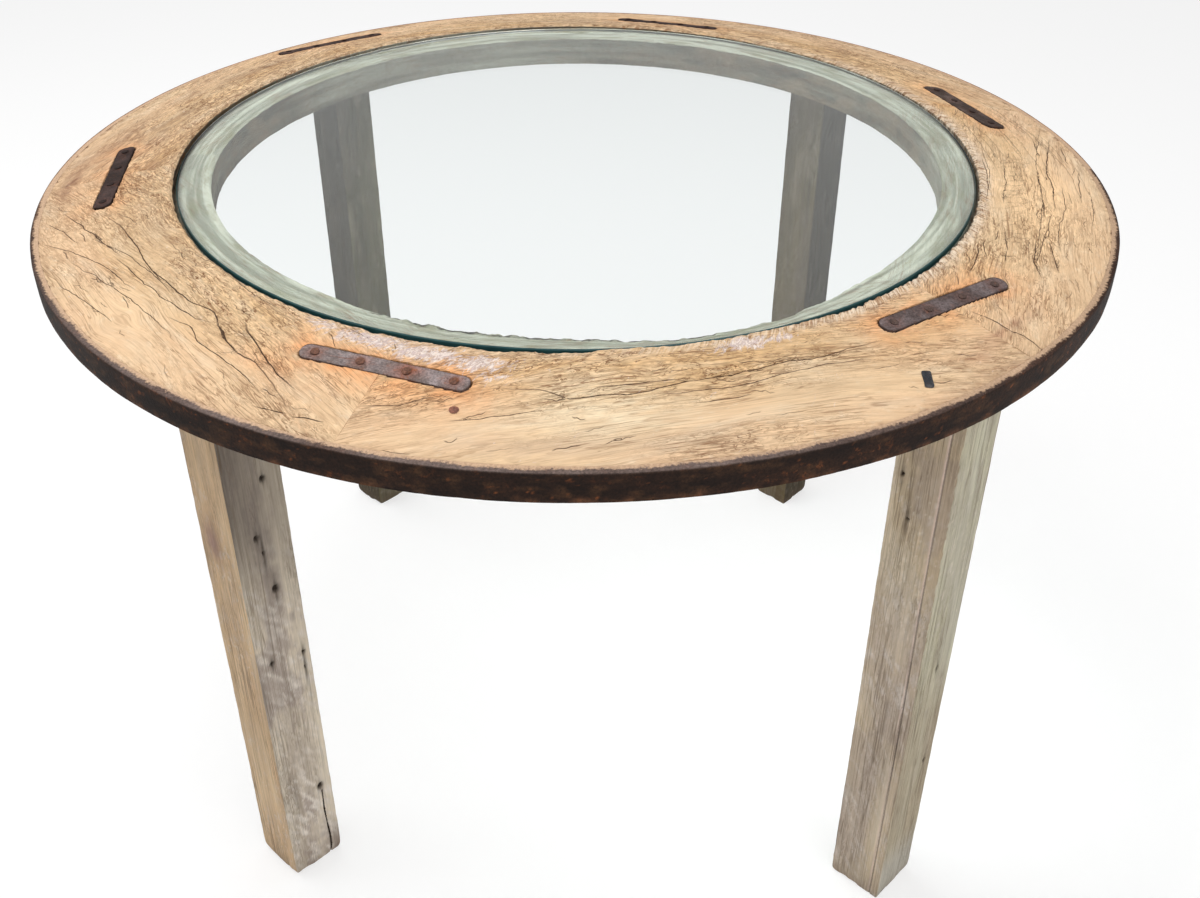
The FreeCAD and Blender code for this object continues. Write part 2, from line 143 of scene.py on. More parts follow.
def line_distance(points, line):
    """For each plan point, how far left of a run of straight pieces it lies, and the share reached there.

    The distance is negative on the right of the run.
    """
    line = np.array(line)
    lengths = np.linalg.norm(np.diff(line, axis=0), axis=1)
    begun = np.concatenate(([0], np.cumsum(lengths)))
    best = np.full(len(points), np.inf)
    signed = np.zeros(len(points))
    along = np.zeros(len(points))
    for i, length in enumerate(lengths):
        step = (line[i + 1] - line[i]) / length
        away = points - line[i]
        reach = np.clip(away @ step, 0, length)
        distance = np.linalg.norm(away - reach[:, None] * step, axis=1)
        left = np.sign(step[0] * away[:, 1] - step[1] * away[:, 0])
        nearer = distance < best
        best = np.where(nearer, distance, best)
        signed = np.where(nearer, distance * left, signed)
        along = np.where(nearer, (begun[i] + reach) / begun[-1], along)
    return signed, along


def camera_axes():
    """The camera's right, up and forward directions."""
    pan, pitch, roll = (math.radians(angle) for angle in (CAMERA_PAN, CAMERA_PITCH, CAMERA_ROLL))
    forward = Vector((math.sin(pan) * math.cos(pitch), math.cos(pan) * math.cos(pitch), -math.sin(pitch)))
    right = forward.cross(Vector((0, 0, 1))).normalized()
    up = right.cross(forward)
    rolled_right = right * math.cos(roll) + up * math.sin(roll)
    rolled_up = up * math.cos(roll) - right * math.sin(roll)
    return rolled_right, rolled_up, forward


def pixel_ray(pixel):
    """Direction from the camera through a pixel of the photograph."""
    right, up, forward = camera_axes()
    across, down = pixel[0] - PHOTO_WIDTH / 2, pixel[1] - PHOTO_HEIGHT / 2
    return forward * FOCAL_PIXELS + right * across - up * down


def slope_height(radius):
    """Height of the felloes' sloping face at a radius."""
    return TYRE_TOP + SLOPE * (WOOD_OUTER - radius)


def on_rim(pixel):
    """Plan point of the sloping face that a pixel of the photograph shows."""
    place, ray = Vector(CAMERA_PLACE), pixel_ray(pixel)
    height = TYRE_TOP
    for _ in range(6):
        point = place + ray * ((height - place.z) / ray.z)
        height = slope_height(math.hypot(point.x, point.y))
    return point.x, point.y


def add_camera():
    data = bpy.data.cameras.new("photo_camera")
    data.sensor_fit = "HORIZONTAL"
    data.sensor_width = SENSOR_WIDTH
    data.lens = FOCAL_PIXELS / PHOTO_WIDTH * SENSOR_WIDTH
    camera = bpy.data.objects.new("photo_camera", data)
    right, up, forward = camera_axes()
    turn = Matrix((right, up, -forward)).transposed().to_4x4()
    camera.matrix_world = Matrix.Translation(CAMERA_PLACE) @ turn
    bpy.context.scene.collection.objects.link(camera)
    bpy.context.scene.camera = camera


class Nodes:
    """The nodes of a new material or world, with short ways to add and join them."""

    def __init__(self, owner):
        self.owner = owner
        owner.use_nodes = True
        self.tree = owner.node_tree
        self.tree.nodes.clear()

    def add(self, kind, inputs=(), **settings):
        """A node with its settings, and its inputs set to a value or joined to a socket."""
        node = self.tree.nodes.new(kind)
        for name, value in settings.items():
            setattr(node, name, value)
        for key, value in dict(inputs).items():
            if isinstance(value, bpy.types.NodeSocket):
                self.tree.links.new(value, node.inputs[key])
            else:
                node.inputs[key].default_value = value
        return node

    def attribute(self, name, output="Fac"):
        return self.add("ShaderNodeAttribute", attribute_name=name).outputs[output]

    def stretched(self, vector, factors):
        node = self.add("ShaderNodeVectorMath", {0: vector, 1: factors}, operation="MULTIPLY")
        return node.outputs[0]

    def noise(self, vector, factors, detail=2.0, roughness=0.5, distortion=0.0):
        """Noise with that many lumps to a metre along each axis."""
        inputs = {"Vector": self.stretched(vector, factors), "Scale": 1.0, "Detail": detail}
        inputs |= {"Roughness": roughness, "Distortion": distortion}
        return self.add("ShaderNodeTexNoise", inputs).outputs["Fac"]

    def ranged(self, value, start, end, low=0.0, high=1.0):
        """The value carried from the range start to end over to low to high."""
        node = self.add("ShaderNodeMapRange", {0: value, 1: start, 2: end, 3: low, 4: high})
        return node.outputs[0]

    def maths(self, operation, first, second=0.0):
        return self.add("ShaderNodeMath", {0: first, 1: second}, operation=operation).outputs[0]

    def plus(self, first, second):
        return self.maths("ADD", first, second)

    def times(self, first, second):
        return self.maths("MULTIPLY", first, second)

    def most(self, first, *others):
        """The largest of several values."""
        for other in others:
            first = self.maths("MAXIMUM", first, other)
        return first

    def thin_line(self, value, middle, inner, outer, strength=1.0):
        """A line where the value crosses the middle, full out to inner and gone at outer."""
        away = self.maths("ABSOLUTE", self.maths("SUBTRACT", value, middle))
        return self.ranged(away, inner, outer, strength, 0.0)

    def mixed(self, share, first, second, blend="MIX"):
        inputs = {0: share, 6: first, 7: second}
        node = self.add("ShaderNodeMix", inputs, data_type="RGBA", blend_type=blend)
        return node.outputs[2]

    def shaded(self, tint, shade):
        """The tint made lighter or darker."""
        grey = self.add("ShaderNodeCombineColor", {0: shade, 1: shade, 2: shade}).outputs[0]
        return self.mixed(1.0, tint, grey, "MULTIPLY")

    def bumped(self, height, distance, strength=1.0):
        inputs = {"Height": height, "Distance": distance, "Strength": strength}
        return self.add("ShaderNodeBump", inputs).outputs[0]

    def principled(self, inputs):
        return self.add("ShaderNodeBsdfPrincipled", inputs).outputs[0]

    def chosen(self, share, first, second):
        """The first shader where the share is 0, and the second where it is 1."""
        return self.add("ShaderNodeMixShader", {0: share, 1: first, 2: second}).outputs[0]

    def finished(self, surface, **others):
        """The material, with its shaders joined to the output."""
        self.add("ShaderNodeOutputMaterial", {"Surface": surface, **others})
        return self.owner


def new_material(name):
    return Nodes(bpy.data.materials.new(name))


# Lumps to a metre of the wood's noises along three axes: along and across the grain for furrows and
# ragged cracks, and round the rim, outward and up for the rest
FURROW_LUMPS, RAGGED_LUMPS = (48, 130, 130), (320, 320, 320)
RIDGE_LUMPS, RIB_LUMPS = (150, 60, 60), (430, 40, 40)
STROKE_LUMPS, CURL_LUMPS = (95, 55, 55), (130, 75, 75)
# Pale torn ribs, and a brown that is painted shade in the ribs' valleys and the colour of splits in the paint
RIB_PALE, RIB_SHADE_AND_SPLIT_BROWN = shader_colour(236, 217, 194), shader_colour(138, 100, 74)
PAINT_LILAC, PAINT_WHITE = shader_colour(206, 188, 190), shader_colour(238, 226, 218)
WOOD_SPECULAR, WOOD_BUMP, WOOD_BUMP_STRENGTH = 0.25, 0.0007, 0.7


def fibre_shade(nodes, grain, rough, fibre):
    """The fibres' noise, and how light or dark fibres, broad bands and grit make the wood."""
    along, across = fibre
    streak = nodes.noise(grain, (along, across, across), 3.0, 0.6)
    band = nodes.noise(grain, (along / 4, across / 8, across / 8), 2.0, 0.5, 0.6)
    shade = nodes.times(nodes.ranged(streak, 0.3, 0.7, 0.89, 1.14), nodes.ranged(band, 0.3, 0.7, 0.94, 1.04))
    grit = nodes.noise(grain, (across * 0.16, across * 0.7, across * 0.7), 2.0, 0.6)
    grit = nodes.ranged(grit, 0.3, 0.7, -0.28, 0.20)
    return streak, nodes.times(shade, nodes.plus(1.0, nodes.times(grit, rough)))


def fine_lines(nodes, grain, polar, rough, wrinkle):
    """How strongly long grain lines, short wrinkles, furrows and ridges show."""
    along, across = wrinkle
    long = nodes.noise(grain, (along / 7, across * 0.85, across * 0.85), 2.0, 0.55, 0.35)
    where = nodes.noise(grain, (along / 6, across / 10, across / 10), 1.0)
    long = nodes.times(nodes.thin_line(long, 0.5, 0.006, 0.033), nodes.ranged(where, 0.38, 0.58, 0.16, 0.72))
    long = nodes.times(long, nodes.ranged(rough, 0.0, 0.7, 0.60, 1.1))
    short = nodes.noise(grain, (along, across, across), 2.5, 0.55, 1.1)
    where = nodes.noise(grain, (along * 0.8, across / 2.5, across / 2.5), 1.0)
    short = nodes.times(nodes.thin_line(short, 0.5, 0.012, 0.050), nodes.ranged(where, 0.40, 0.60, 0.25, 1.0))
    furrow = nodes.thin_line(nodes.noise(grain, FURROW_LUMPS, 2.5, 0.55, 1.0), 0.5, 0.012, 0.05, 0.95)
    furrow = nodes.times(furrow, nodes.attribute("furrowed"))
    ridge = nodes.ranged(nodes.noise(polar, RIDGE_LUMPS, 2.0, 0.5, 0.9), 0.38, 0.49, 0.8, 0.0)
    ridge = nodes.times(ridge, nodes.attribute("ridged"))
    return nodes.most(long, nodes.times(short, rough), furrow, ridge)


def open_cracks(nodes, grain):
    """How dark cracks and holes are, with ragged sides."""
    ragged = nodes.ranged(nodes.noise(grain, RAGGED_LUMPS, 2.0, 0.6), 0.3, 0.7, 1.35, 0.75)
    span = nodes.times(nodes.maths("ABSOLUTE", nodes.attribute("offset")), ragged)
    crack = nodes.times(nodes.ranged(span, 0.75, 1.35, 1.0, 0.0), nodes.attribute("open"))
    return nodes.most(crack, nodes.attribute("dark"))


def flaking_paint(nodes, polar):
    """Where old paint is left on the wood, and its curled and split coat."""
    stroke = nodes.ranged(nodes.noise(polar, STROKE_LUMPS, 4.0, 0.68, 2.6), 0.25, 0.75, -0.65, 0.65)
    flaked = nodes.ranged(nodes.plus(nodes.attribute("paint"), stroke), 0.42, 0.78, 0.0, 0.85)
    curl = nodes.noise(polar, CURL_LUMPS, 3.0, 0.6, 3.2)
    coat = nodes.mixed(nodes.ranged(curl, 0.36, 0.60), PAINT_LILAC, PAINT_WHITE)
    return flaked, nodes.mixed(nodes.thin_line(curl, 0.47, 0.008, 0.03, 0.75), coat, RIB_SHADE_AND_SPLIT_BROWN)


def wood_material(name, fibre, wrinkle, crack_colour, line_colour, roughness=0.78):
    """Weathered wood on a piece's own tint: fibres, long grain lines, short wrinkles and dark cracks.

    fibre and wrinkle are lumps to a metre along and across the grain.
    """
    nodes = new_material(name)
    grain, polar = nodes.attribute("grain", "Vector"), nodes.attribute("polar", "Vector")
    rough, frayed = nodes.attribute("rough"), nodes.attribute("frayed")
    streak, shade = fibre_shade(nodes, grain, rough, fibre)
    fine = fine_lines(nodes, grain, polar, rough, wrinkle)
    crack = open_cracks(nodes, grain)
    rib = nodes.noise(polar, RIB_LUMPS, 2.0, 0.55, 0.7)
    crest = nodes.times(nodes.ranged(rib, 0.47, 0.62), frayed)
    # The brown in the valleys between the ribs is painted shade
    valley = nodes.times(nodes.ranged(rib, 0.36, 0.49, 0.80, 0.0), frayed)
    flaked, coat = flaking_paint(nodes, polar)

    final = nodes.shaded(nodes.attribute("tint", "Color"), shade)
    layers = (
        (fine, line_colour), (crest, RIB_PALE), (valley, RIB_SHADE_AND_SPLIT_BROWN), (flaked, coat), (crack, crack_colour),
    )
    for share, layer_colour in layers:
        final = nodes.mixed(share, final, layer_colour)
    high = nodes.plus(nodes.times(streak, 0.35), nodes.times(crest, 0.5))
    high = nodes.plus(high, nodes.times(flaked, 0.2))
    height = nodes.maths("SUBTRACT", high, nodes.most(fine, crack, valley))
    inputs = {
        "Base Color": final,
        "Roughness": nodes.ranged(streak, 0.2, 0.8, roughness + 0.08, roughness - 0.08),
        "Specular IOR Level": WOOD_SPECULAR,
        "Normal": nodes.bumped(height, WOOD_BUMP, WOOD_BUMP_STRENGTH),
    }
    return nodes.finished(nodes.principled(inputs))


# Wood fibre that laps over the tyre's edge, and how finely it is torn to a metre
LAP_BROWN, LAP_PALE = shader_colour(140, 104, 80), shader_colour(238, 206, 172)
LAP_LUMPS = (260, 260, 260)
RUST_ORANGE = shader_colour(150, 84, 42)
IRON_SPECULAR, IRON_BUMP, IRON_BUMP_STRENGTH = 0.22, 0.0006, 0.8


def iron_material(name, pit_lumps, metal, roughness):
    """Rusted iron on a piece's own tint, pitted, with bare metal where the worn attribute says."""
    nodes = new_material(name)
    place, worn = nodes.attribute("grain", "Vector"), nodes.attribute("worn")
    pits = nodes.noise(place, (pit_lumps,) * 3, 4.0, 0.65)
    rust = nodes.noise(place, (pit_lumps / 3,) * 3, 4.0, 0.7, 0.4)
    rusty = nodes.times(nodes.ranged(rust, 0.55, 0.68), nodes.attribute("rust"))
    final = nodes.shaded(nodes.attribute("tint", "Color"), nodes.ranged(pits, 0.3, 0.7, 0.50, 1.5))
    final = nodes.mixed(rusty, final, RUST_ORANGE)
    torn = nodes.ranged(nodes.noise(place, LAP_LUMPS, 4.0, 0.7), 0.25, 0.75, -0.26, 0.26)
    wooden = nodes.ranged(nodes.plus(nodes.attribute("lap"), torn), 0.44, 0.66)
    inputs = {
        "Base Color": nodes.mixed(wooden, final, nodes.mixed(pits, LAP_BROWN, LAP_PALE)),
        "Metallic": nodes.ranged(worn, 0.0, 1.0, 0.0, metal),
        "Roughness": nodes.ranged(worn, 0.0, 1.0, roughness + 0.1, roughness - 0.15),
        "Specular IOR Level": IRON_SPECULAR,
        "Normal": nodes.bumped(pits, IRON_BUMP, IRON_BUMP_STRENGTH),
    }
    return nodes.finished(nodes.principled(inputs))


# How glass bends light, its tints of shadow and of depth, and the ground edge's colours
GLASS_IOR = 1.5
GLASS_SHADOW, GLASS_GREEN, GLASS_DENSITY = (0.93, 0.96, 0.95, 1), (0.35, 0.8, 0.75, 1), 6.0
EDGE_LUMPS = (60, 60, 200)
EDGE_DEEP, EDGE_SEA, EDGE_CLEAR = shader_colour(22, 54, 58), shader_colour(46, 92, 94), (0.9, 0.97, 0.96, 1)


def glass_material():
    """Clear float glass with its green cast inside, which lets the lamps' light through."""
    nodes = new_material("clear_glass")
    inputs = {"Base Color": (1, 1, 1, 1), "Roughness": 0.0, "IOR": GLASS_IOR, "Transmission Weight": 1.0}
    glass = nodes.principled(inputs)
    through = nodes.add("ShaderNodeBsdfTransparent", {"Color": GLASS_SHADOW}).outputs[0]
    shadow = nodes.add("ShaderNodeLightPath").outputs["Is Shadow Ray"]
    absorb = nodes.add("ShaderNodeVolumeAbsorption", {"Color": GLASS_GREEN, "Density": GLASS_DENSITY})
    return nodes.finished(nodes.chosen(shadow, glass, through), Volume=absorb.outputs[0])


def glass_edge_material():
    """The pane's ground edge: deep sea green from outside, clear from within the glass."""
    nodes = new_material("glass_edge")
    place = nodes.add("ShaderNodeTexCoord").outputs["Object"]
    tone = nodes.mixed(nodes.noise(place, EDGE_LUMPS, 2.0), EDGE_DEEP, EDGE_SEA)
    ground = nodes.principled({"Base Color": tone, "Roughness": 0.28})
    inside = {"Base Color": EDGE_CLEAR, "Roughness": 0.05, "IOR": GLASS_IOR, "Transmission Weight": 1.0}
    behind = nodes.add("ShaderNodeNewGeometry").outputs["Backfacing"]
    return nodes.finished(nodes.chosen(behind, ground, nodes.principled(inside)))


def new_piece(name, points, faces, body, materials, replaced, layers=None, smooth=True, slots=()):
    """A mesh piece from points and faces, riding on a body and standing for CAD nodes.

    faces is a list of arrays, each with one face in a row, and layers holds values for each point. slots
    tells which of several materials each face has.
    """
    mesh = bpy.data.meshes.new(name)
    counts = np.concatenate([np.full(len(block), block.shape[1]) for block in faces])
    corners = np.concatenate([block.ravel() for block in faces])
    mesh.vertices.add(len(points))
    mesh.vertices.foreach_set("co", points.astype(np.float32).ravel())
    mesh.loops.add(len(corners))
    mesh.loops.foreach_set("vertex_index", corners.astype(np.int32))
    mesh.polygons.add(len(counts))
    starts = np.concatenate(([0], np.cumsum(counts)[:-1]))
    mesh.polygons.foreach_set("loop_start", starts.astype(np.int32))
    mesh.polygons.foreach_set("use_smooth", np.full(len(counts), smooth))
    mesh.update(calc_edges=True)
    if smooth:
        mesh.set_sharp_from_angle(angle=SHARP_TURN)
    for key, values in (layers or {}).items():
        kind, field = ("FLOAT", "value") if values.ndim == 1 else ("FLOAT_VECTOR", "vector")
        if key == "tint":
            kind, field = "FLOAT_COLOR", "color"
            values = np.column_stack((np.clip(values, 0, 1), np.ones(len(values))))
        layer = mesh.attributes.new(key, kind, "POINT")
        layer.data.foreach_set(field, values.astype(np.float32).ravel())
    for part in materials:
        mesh.materials.append(part)
    if len(materials) > 1:
        mesh.polygons.foreach_set("material_index", np.asarray(slots, np.int32))
    piece = bpy.data.objects.new(name, mesh)
    bpy.context.scene.collection.objects.link(piece)
    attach(piece, body)
    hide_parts(*replaced)


def tube_faces(rings, around, closed=False):
    """Quads between rings of points, each ring closed on itself."""
    ring = np.arange(rings if closed else rings - 1)[:, None]
    step = np.arange(around)[None, :]
    after_ring, after_step = (ring + 1) % rings, (step + 1) % around
    corners = (ring, step), (ring, after_step), (after_ring, after_step), (after_ring, step)
    quads = [np.broadcast_to(r * around + s, (len(ring), around)) for r, s in corners]
    return np.stack(quads, -1).reshape(-1, 4)


def cap_faces(rings, around):
    """One many-sided face on each end of a tube."""
    first = np.arange(around)[::-1][None, :]
    last = (rings - 1) * around + np.arange(around)[None, :]
    return [first, last]


def solid_faces(rings, around):
    """Quads and end caps of a tube whose rings run from its top down."""
    return [block[:, ::-1] for block in (tube_faces(rings, around), *cap_faces(rings, around))]


class Coat:
    """The colour of each point of a piece, painted over in turn."""

    def __init__(self, base, count):
        self.tint = base + np.zeros((count, 3))

    def over(self, paint, share):
        """Turns the colours into another, by a share for each point."""
        self.tint = self.tint + (paint - self.tint) * np.clip(share, 0, 1)[:, None]
        return self


def peaks(noise, floor):
    """How far noise rises over a floor."""
    return np.clip(noise - floor, 0, 1)


def facing(degrees, middle, outer, inner):
    """1 within the inner reach of a direction, 0 past the outer one, with a soft bend between them."""
    return smooth_step(-np.abs(degrees - middle), -outer, -inner)


def iron_layers(tint, grain, worn, rust):
    """Layers of a small iron piece that is evenly worn and rusty."""
    count = len(tint)
    return {"tint": tint, "grain": grain, "worn": np.full(count, worn), "rust": np.full(count, rust)}


def turned(profile, around, lift=0.0):
    """Rings of points about the Z axis, from pairs of radius and height."""
    turn = np.arange(around) / around * 2 * math.pi
    circle = np.column_stack((np.cos(turn), np.sin(turn)))
    rings = [np.column_stack((circle * radius, np.full(around, lift + height))) for radius, height in profile]
    return np.vstack(rings)


def unit(vector):
    return vector / np.linalg.norm(vector)


def section_rows(corners, spacings):
    """Points along a closed outline, with the side each lies on and its way into the wood.

    Each side gets its own spacing. Also returns the distance of each point to its side's two ends.
    """
    alongs = np.roll(corners, -1, axis=0) - corners
    ways = [unit(along)[::-1] * (-1, 1) for along in alongs]
    rows, inward, sides, ends = [], [], [], []
    for i, (corner, along, spacing) in enumerate(zip(corners, alongs, spacings)):
        length = np.linalg.norm(along)
        steps = max(1, round(length / spacing))
        for step in range(steps):
            rows.append(corner + along * step / steps)
            inward.append(unit(ways[i] + ways[i - 1] if step == 0 else ways[i]))
            sides.append(i)
            ends.append((length * step / steps, length * (1 - step / steps)))
    return np.array(rows), np.array(inward), np.array(sides), np.array(ends)


# The sides of a felloe's section, in order round it
TOP, BEVEL, WALL, LEDGE, INNER, UNDER, OUTER = range(7)
SECTION = (
    (WOOD_OUTER, TYRE_TOP),
    (CROWN_RADIUS, CROWN),
    (WELL_RADIUS, CROWN - EDGE_WEAR * 0.8),
    (WELL_RADIUS, GLASS_BOTTOM),
    (WOOD_INNER, GLASS_BOTTOM),
    (WOOD_INNER, UNDERSIDE),
    (WOOD_OUTER, UNDERSIDE),
)
ROW_SPACINGS = (0.00125, 0.0012, 0.0013, 0.0016, 0.002, 0.005, 0.006)
COLUMN_SPACING = 0.0014

# How far the wood has worn down at the well's edge, by angle, in millimetres
WELL_WEAR_TABLE = (
    (-180, 1.4), (-165, 2.2), (-150, 3.2), (-120, 4.4), (-98, 5.0), (-90, 4.0), (-86, 1.0), (-64, 0.6),
    (-59, 2.8), (-45, 3.2), (-20, 3.2), (20, 2.6), (50, 2.8), (80, 1.4), (95, 0.5), (125, 0.0), (160, 0.4),
    (180, 1.4),
)
WELL_WEAR_WIDTH = 0.013
# How much of the ledge's inner edge has broken away, by angle, in millimetres
LEDGE_LOSS_TABLE = (
    (-180, 0), (-126, 0), (-116, 3), (-98, 5), (-88, 9), (-80, 19), (-66, 19), (-58, 12), (-50, 5), (-30, 1),
    (0, 0), (180, 0),
)
# How olive and how pale the wall under the pane is, by angle
WALL_OLIVE_TABLE = (
    (-180, 0.5), (-150, 0.1), (-10, 0.2), (15, 0.9), (80, 0.9), (98, 0.2), (140, 0.2), (160, 0.7), (180, 0.5),
)
WALL_PALE_TABLE = (
    (-180, 0.0), (-30, 0.1), (-5, 0.5), (12, 0.1), (85, 0.1), (105, 0.6), (140, 0.5), (152, 0.0), (180, 0.0),
)
# How pale and ribbed the wood is at the well's edge, by angle
FRAY_TABLE = (
    (-180, 0.25), (-150, 0.15), (-126, 0.35), (-112, 0.5), (-96, 0.35), (-84, 0.5), (-66, 0.7), (-56, 1.0),
    (-15, 1.0), (10, 0.9), (28, 0.7), (50, 0.45), (80, 0.3), (130, 0.35), (160, 0.3), (180, 0.25),
)


def by_angle(degrees, table):
    angles, values = zip(*table)
    return np.interp(degrees, angles, values)


# Long cracks of the photograph, each a run of pixels with its width and depth
CRACKS = (
    (((101, 212), (122, 226), (135, 245), (152, 270), (172, 287), (187, 299), (214, 312), (223, 337),
      (237, 352), (254, 362), (271, 381), (288, 408)), 0.0013, 0.0018),
    (((61, 212), (80, 224), (107, 245), (120, 255)), 0.0011, 0.0014),
    (((47, 224), (63, 231), (78, 243)), 0.0010, 0.0012),
    (((42, 243), (68, 251), (97, 262), (112, 270), (124, 283), (133, 286)), 0.0010, 0.0012),
    (((116, 257), (137, 276), (160, 295), (183, 310), (196, 318), (214, 322)), 0.0010, 0.0012),
    (((215, 320), (223, 331), (225, 339), (237, 352)), 0.0018, 0.0026),
    (((242, 320), (256, 343), (265, 358), (279, 375), (296, 389)), 0.0017, 0.0026),
    (((168, 316), (191, 325), (198, 339), (210, 350), (231, 364), (250, 381), (260, 392)), 0.0010, 0.0012),
    (((189, 247), (210, 258), (231, 272), (260, 295), (284, 310)), 0.0009, 0.0010),
    (((70, 262), (101, 279), (131, 299), (158, 322), (172, 336)), 0.0009, 0.0010),
    (((92, 238), (124, 252), (151, 272), (170, 292)), 0.0009, 0.0010),
    (((56, 282), (84, 300), (112, 322)), 0.0009, 0.0010),
    (((254, 406), (288, 412)), 0.0012, 0.0014),
    (((292, 415), (323, 421)), 0.0012, 0.0012),
    (((361, 406), (398, 405), (426, 397), (447, 395)), 0.0010, 0.0012),
    (((490, 388), (537, 389), (555, 393), (569, 397), (600, 394), (625, 393), (649, 389), (688, 380),
      (731, 374), (755, 368), (778, 362), (824, 355), (857, 345), (886, 339)), 0.0013, 0.0020),
    (((449, 421), (494, 416), (543, 410)), 0.0009, 0.0010),
    (((382, 450), (410, 454)), 0.0012, 0.0010),
    (((600, 386), (641, 382), (686, 378)), 0.0010, 0.0012),
    (((661, 394), (702, 390), (743, 384), (778, 374), (824, 364), (871, 357)), 0.0009, 0.0010),
    (((696, 402), (753, 394)), 0.0008, 0.0008),
    (((970, 271), (977, 258), (979, 244)), 0.0012, 0.0014),
    (((984, 239), (986, 256)), 0.0010, 0.0012),
    (((1006, 230), (1008, 251)), 0.0011, 0.0012),
    (((1036, 240), (1034, 261), (1043, 278)), 0.0012, 0.0014),
    (((1049, 240), (1060, 273)), 0.0012, 0.0014),
    (((970, 311), (991, 318), (1012, 330), (1025, 335), (1036, 344), (1045, 352)), 0.0014, 0.0012),
    (((1040, 126), (1036, 164), (1043, 198), (1041, 222), (1036, 262)), 0.0007, 0.0004),
    (((1062, 186), (1066, 208), (1058, 232), (1060, 252)), 0.0007, 0.0004),
    (((1053, 213), (1043, 241), (1037, 262), (1044, 276)), 0.0007, 0.0004),
    (((1090, 192), (1094, 210), (1093, 226)), 0.0007, 0.0004),
    (((990, 188), (989, 170), (983, 150)), 0.0007, 0.0004),
    (((982, 156), (987, 172), (988, 188), (987, 197)), 0.0010, 0.0012),
    (((1004, 162), (1006, 181), (1004, 203)), 0.0010, 0.0012),
    (((1049, 140), (1047, 172), (1054, 188), (1055, 211)), 0.0013, 0.0018),
    (((1036, 170), (1044, 203), (1046, 219)), 0.0012, 0.0014),
    (((1033, 140), (1040, 156)), 0.0011, 0.0012),
    (((1060, 146), (1068, 164)), 0.0011, 0.0012),
    (((1078, 172), (1082, 203)), 0.0010, 0.0012),
    (((1001, 254), (1015, 255)), 0.0010, 0.0012),
    (((1007, 250), (1006, 260)), 0.0010, 0.0012),
)

# Corners of a run of short cracks, and how many there are
LADDER = ((1002, 158), (1028, 242), 20)
# Thin cracks along the right felloe: first and last angle, inner and outer radius, and how many there are
GROWTH_FIRST, GROWTH_LAST = -16.0, 25.0
GROWTH_INNER, GROWTH_OUTER, GROWTH_COUNT = 0.462, 0.560, 20
LADDER_SEED, GROWTH_SEED = 5, 8
# How many small cracks chance draws in each felloe
SEEDED_CRACKS = 44

TAN, GOLD, PINK_TAN = colour(224, 193, 153), colour(216, 177, 128), colour(224, 189, 153)
PALE, BROWN, RUST = colour(234, 216, 188), colour(172, 132, 98), colour(234, 160, 102)
FLUFF, DIRT, LEDGE_GREY = colour(231, 211, 188), colour(104, 76, 62), colour(126, 128, 112)
WEATHERED, STAIN, BARK = colour(128, 108, 90), colour(150, 92, 72), colour(128, 92, 74)
LEDGE_PALE, WALL_AND_SHADE_BROWN, UNDER_BROWN = colour(192, 192, 176), colour(72, 66, 54), colour(118, 96, 74)
LEDGE_OLIVE, WALL_OLIVE = colour(118, 116, 84), colour(118, 104, 84)
# Patches of the rim that the photograph shows: middle, half sizes round and across the rim, colour, strength
PATCHES = (
    ((320, 290), 0.050, 0.020, GOLD, 0.60),
    ((200, 220), 0.090, 0.024, GOLD, 0.60),
    ((700, 352), 0.120, 0.020, GOLD, 0.55),
    ((600, 412), 0.090, 0.030, colour(238, 222, 190), 0.60),
    ((820, 390), 0.060, 0.022, colour(204, 178, 144), 0.40),
    ((1040, 200), 0.110, 0.045, colour(250, 212, 166), 0.90),
    ((150, 232), 0.090, 0.030, colour(200, 170, 134), 0.60),
    ((110, 150), 0.080, 0.034, colour(176, 142, 112), 0.75),
    ((600, 22), 0.140, 0.030, colour(186, 164, 140), 0.60),
    ((900, 75), 0.090, 0.036, colour(240, 206, 160), 0.75),
    ((175, 120), 0.080, 0.012, WEATHERED, 0.45),
    ((250, 72), 0.080, 0.012, WEATHERED, 0.35),
    ((72, 182), 0.050, 0.010, BARK, 0.75),
    ((152, 166), 0.020, 0.008, BARK, 0.60),
    ((1008, 328), 0.045, 0.007, STAIN, 0.45),
    ((990, 350), 0.030, 0.009, STAIN, 0.30),
    ((1035, 362), 0.030, 0.007, STAIN, 0.35),
    ((1000, 374), 0.060, 0.018, colour(180, 148, 120), 0.50),
    ((600, 446), 0.120, 0.012, colour(204, 176, 146), 0.60),
    ((480, 440), 0.060, 0.010, colour(208, 178, 148), 0.45),
    ((428, 394), 0.050, 0.014, colour(238, 178, 126), 0.60),
    ((262, 360), 0.030, 0.012, colour(232, 172, 124), 0.45),
)
# Patches of flaking pale paint: middle, half sizes round and across the rim, strength
FLAKING = (
    ((375, 338), 0.050, 0.013, 0.95),
    ((430, 352), 0.050, 0.013, 1.00),
    ((478, 362), 0.036, 0.013, 0.85),
    ((325, 322), 0.026, 0.010, 0.70),
    ((500, 378), 0.022, 0.008, 0.55),
    ((745, 342), 0.034, 0.011, 0.85),
    ((778, 338), 0.016, 0.008, 0.70),
)
# Knots of the rim: a pixel of the photograph and how far the grain bends round it
RIM_KNOT_PIXELS = (((122, 318), 0.020), ((650, 362), 0.014), ((900, 352), 0.012), ((1020, 200), 0.016))
RIM_KNOTS = [(np.array(on_rim(pixel)), reach) for pixel, reach in RIM_KNOT_PIXELS]
# How strongly a knot draws the grain together along it and across it
KNOT_PULL = np.array((0.30, 0.72))
# The offset of points that no crack is near, in its half widths
FAR_OFF = 9.0
# How much closer the felloes stand at each end than their gap, so that worn ends meet
SEAM_CLOSING = 0.0002

# How strongly each cleat's rust has stained the wood round it
HALOS = {1: 0.80, 2: 0.60, 3: 0.50, 4: 0.50, 5: 0.62, 6: 1.00}
CLEAT_CORNER = 0.0098
# The largest corner, as a share of a strap's width
CORNER_SHARE = 0.45
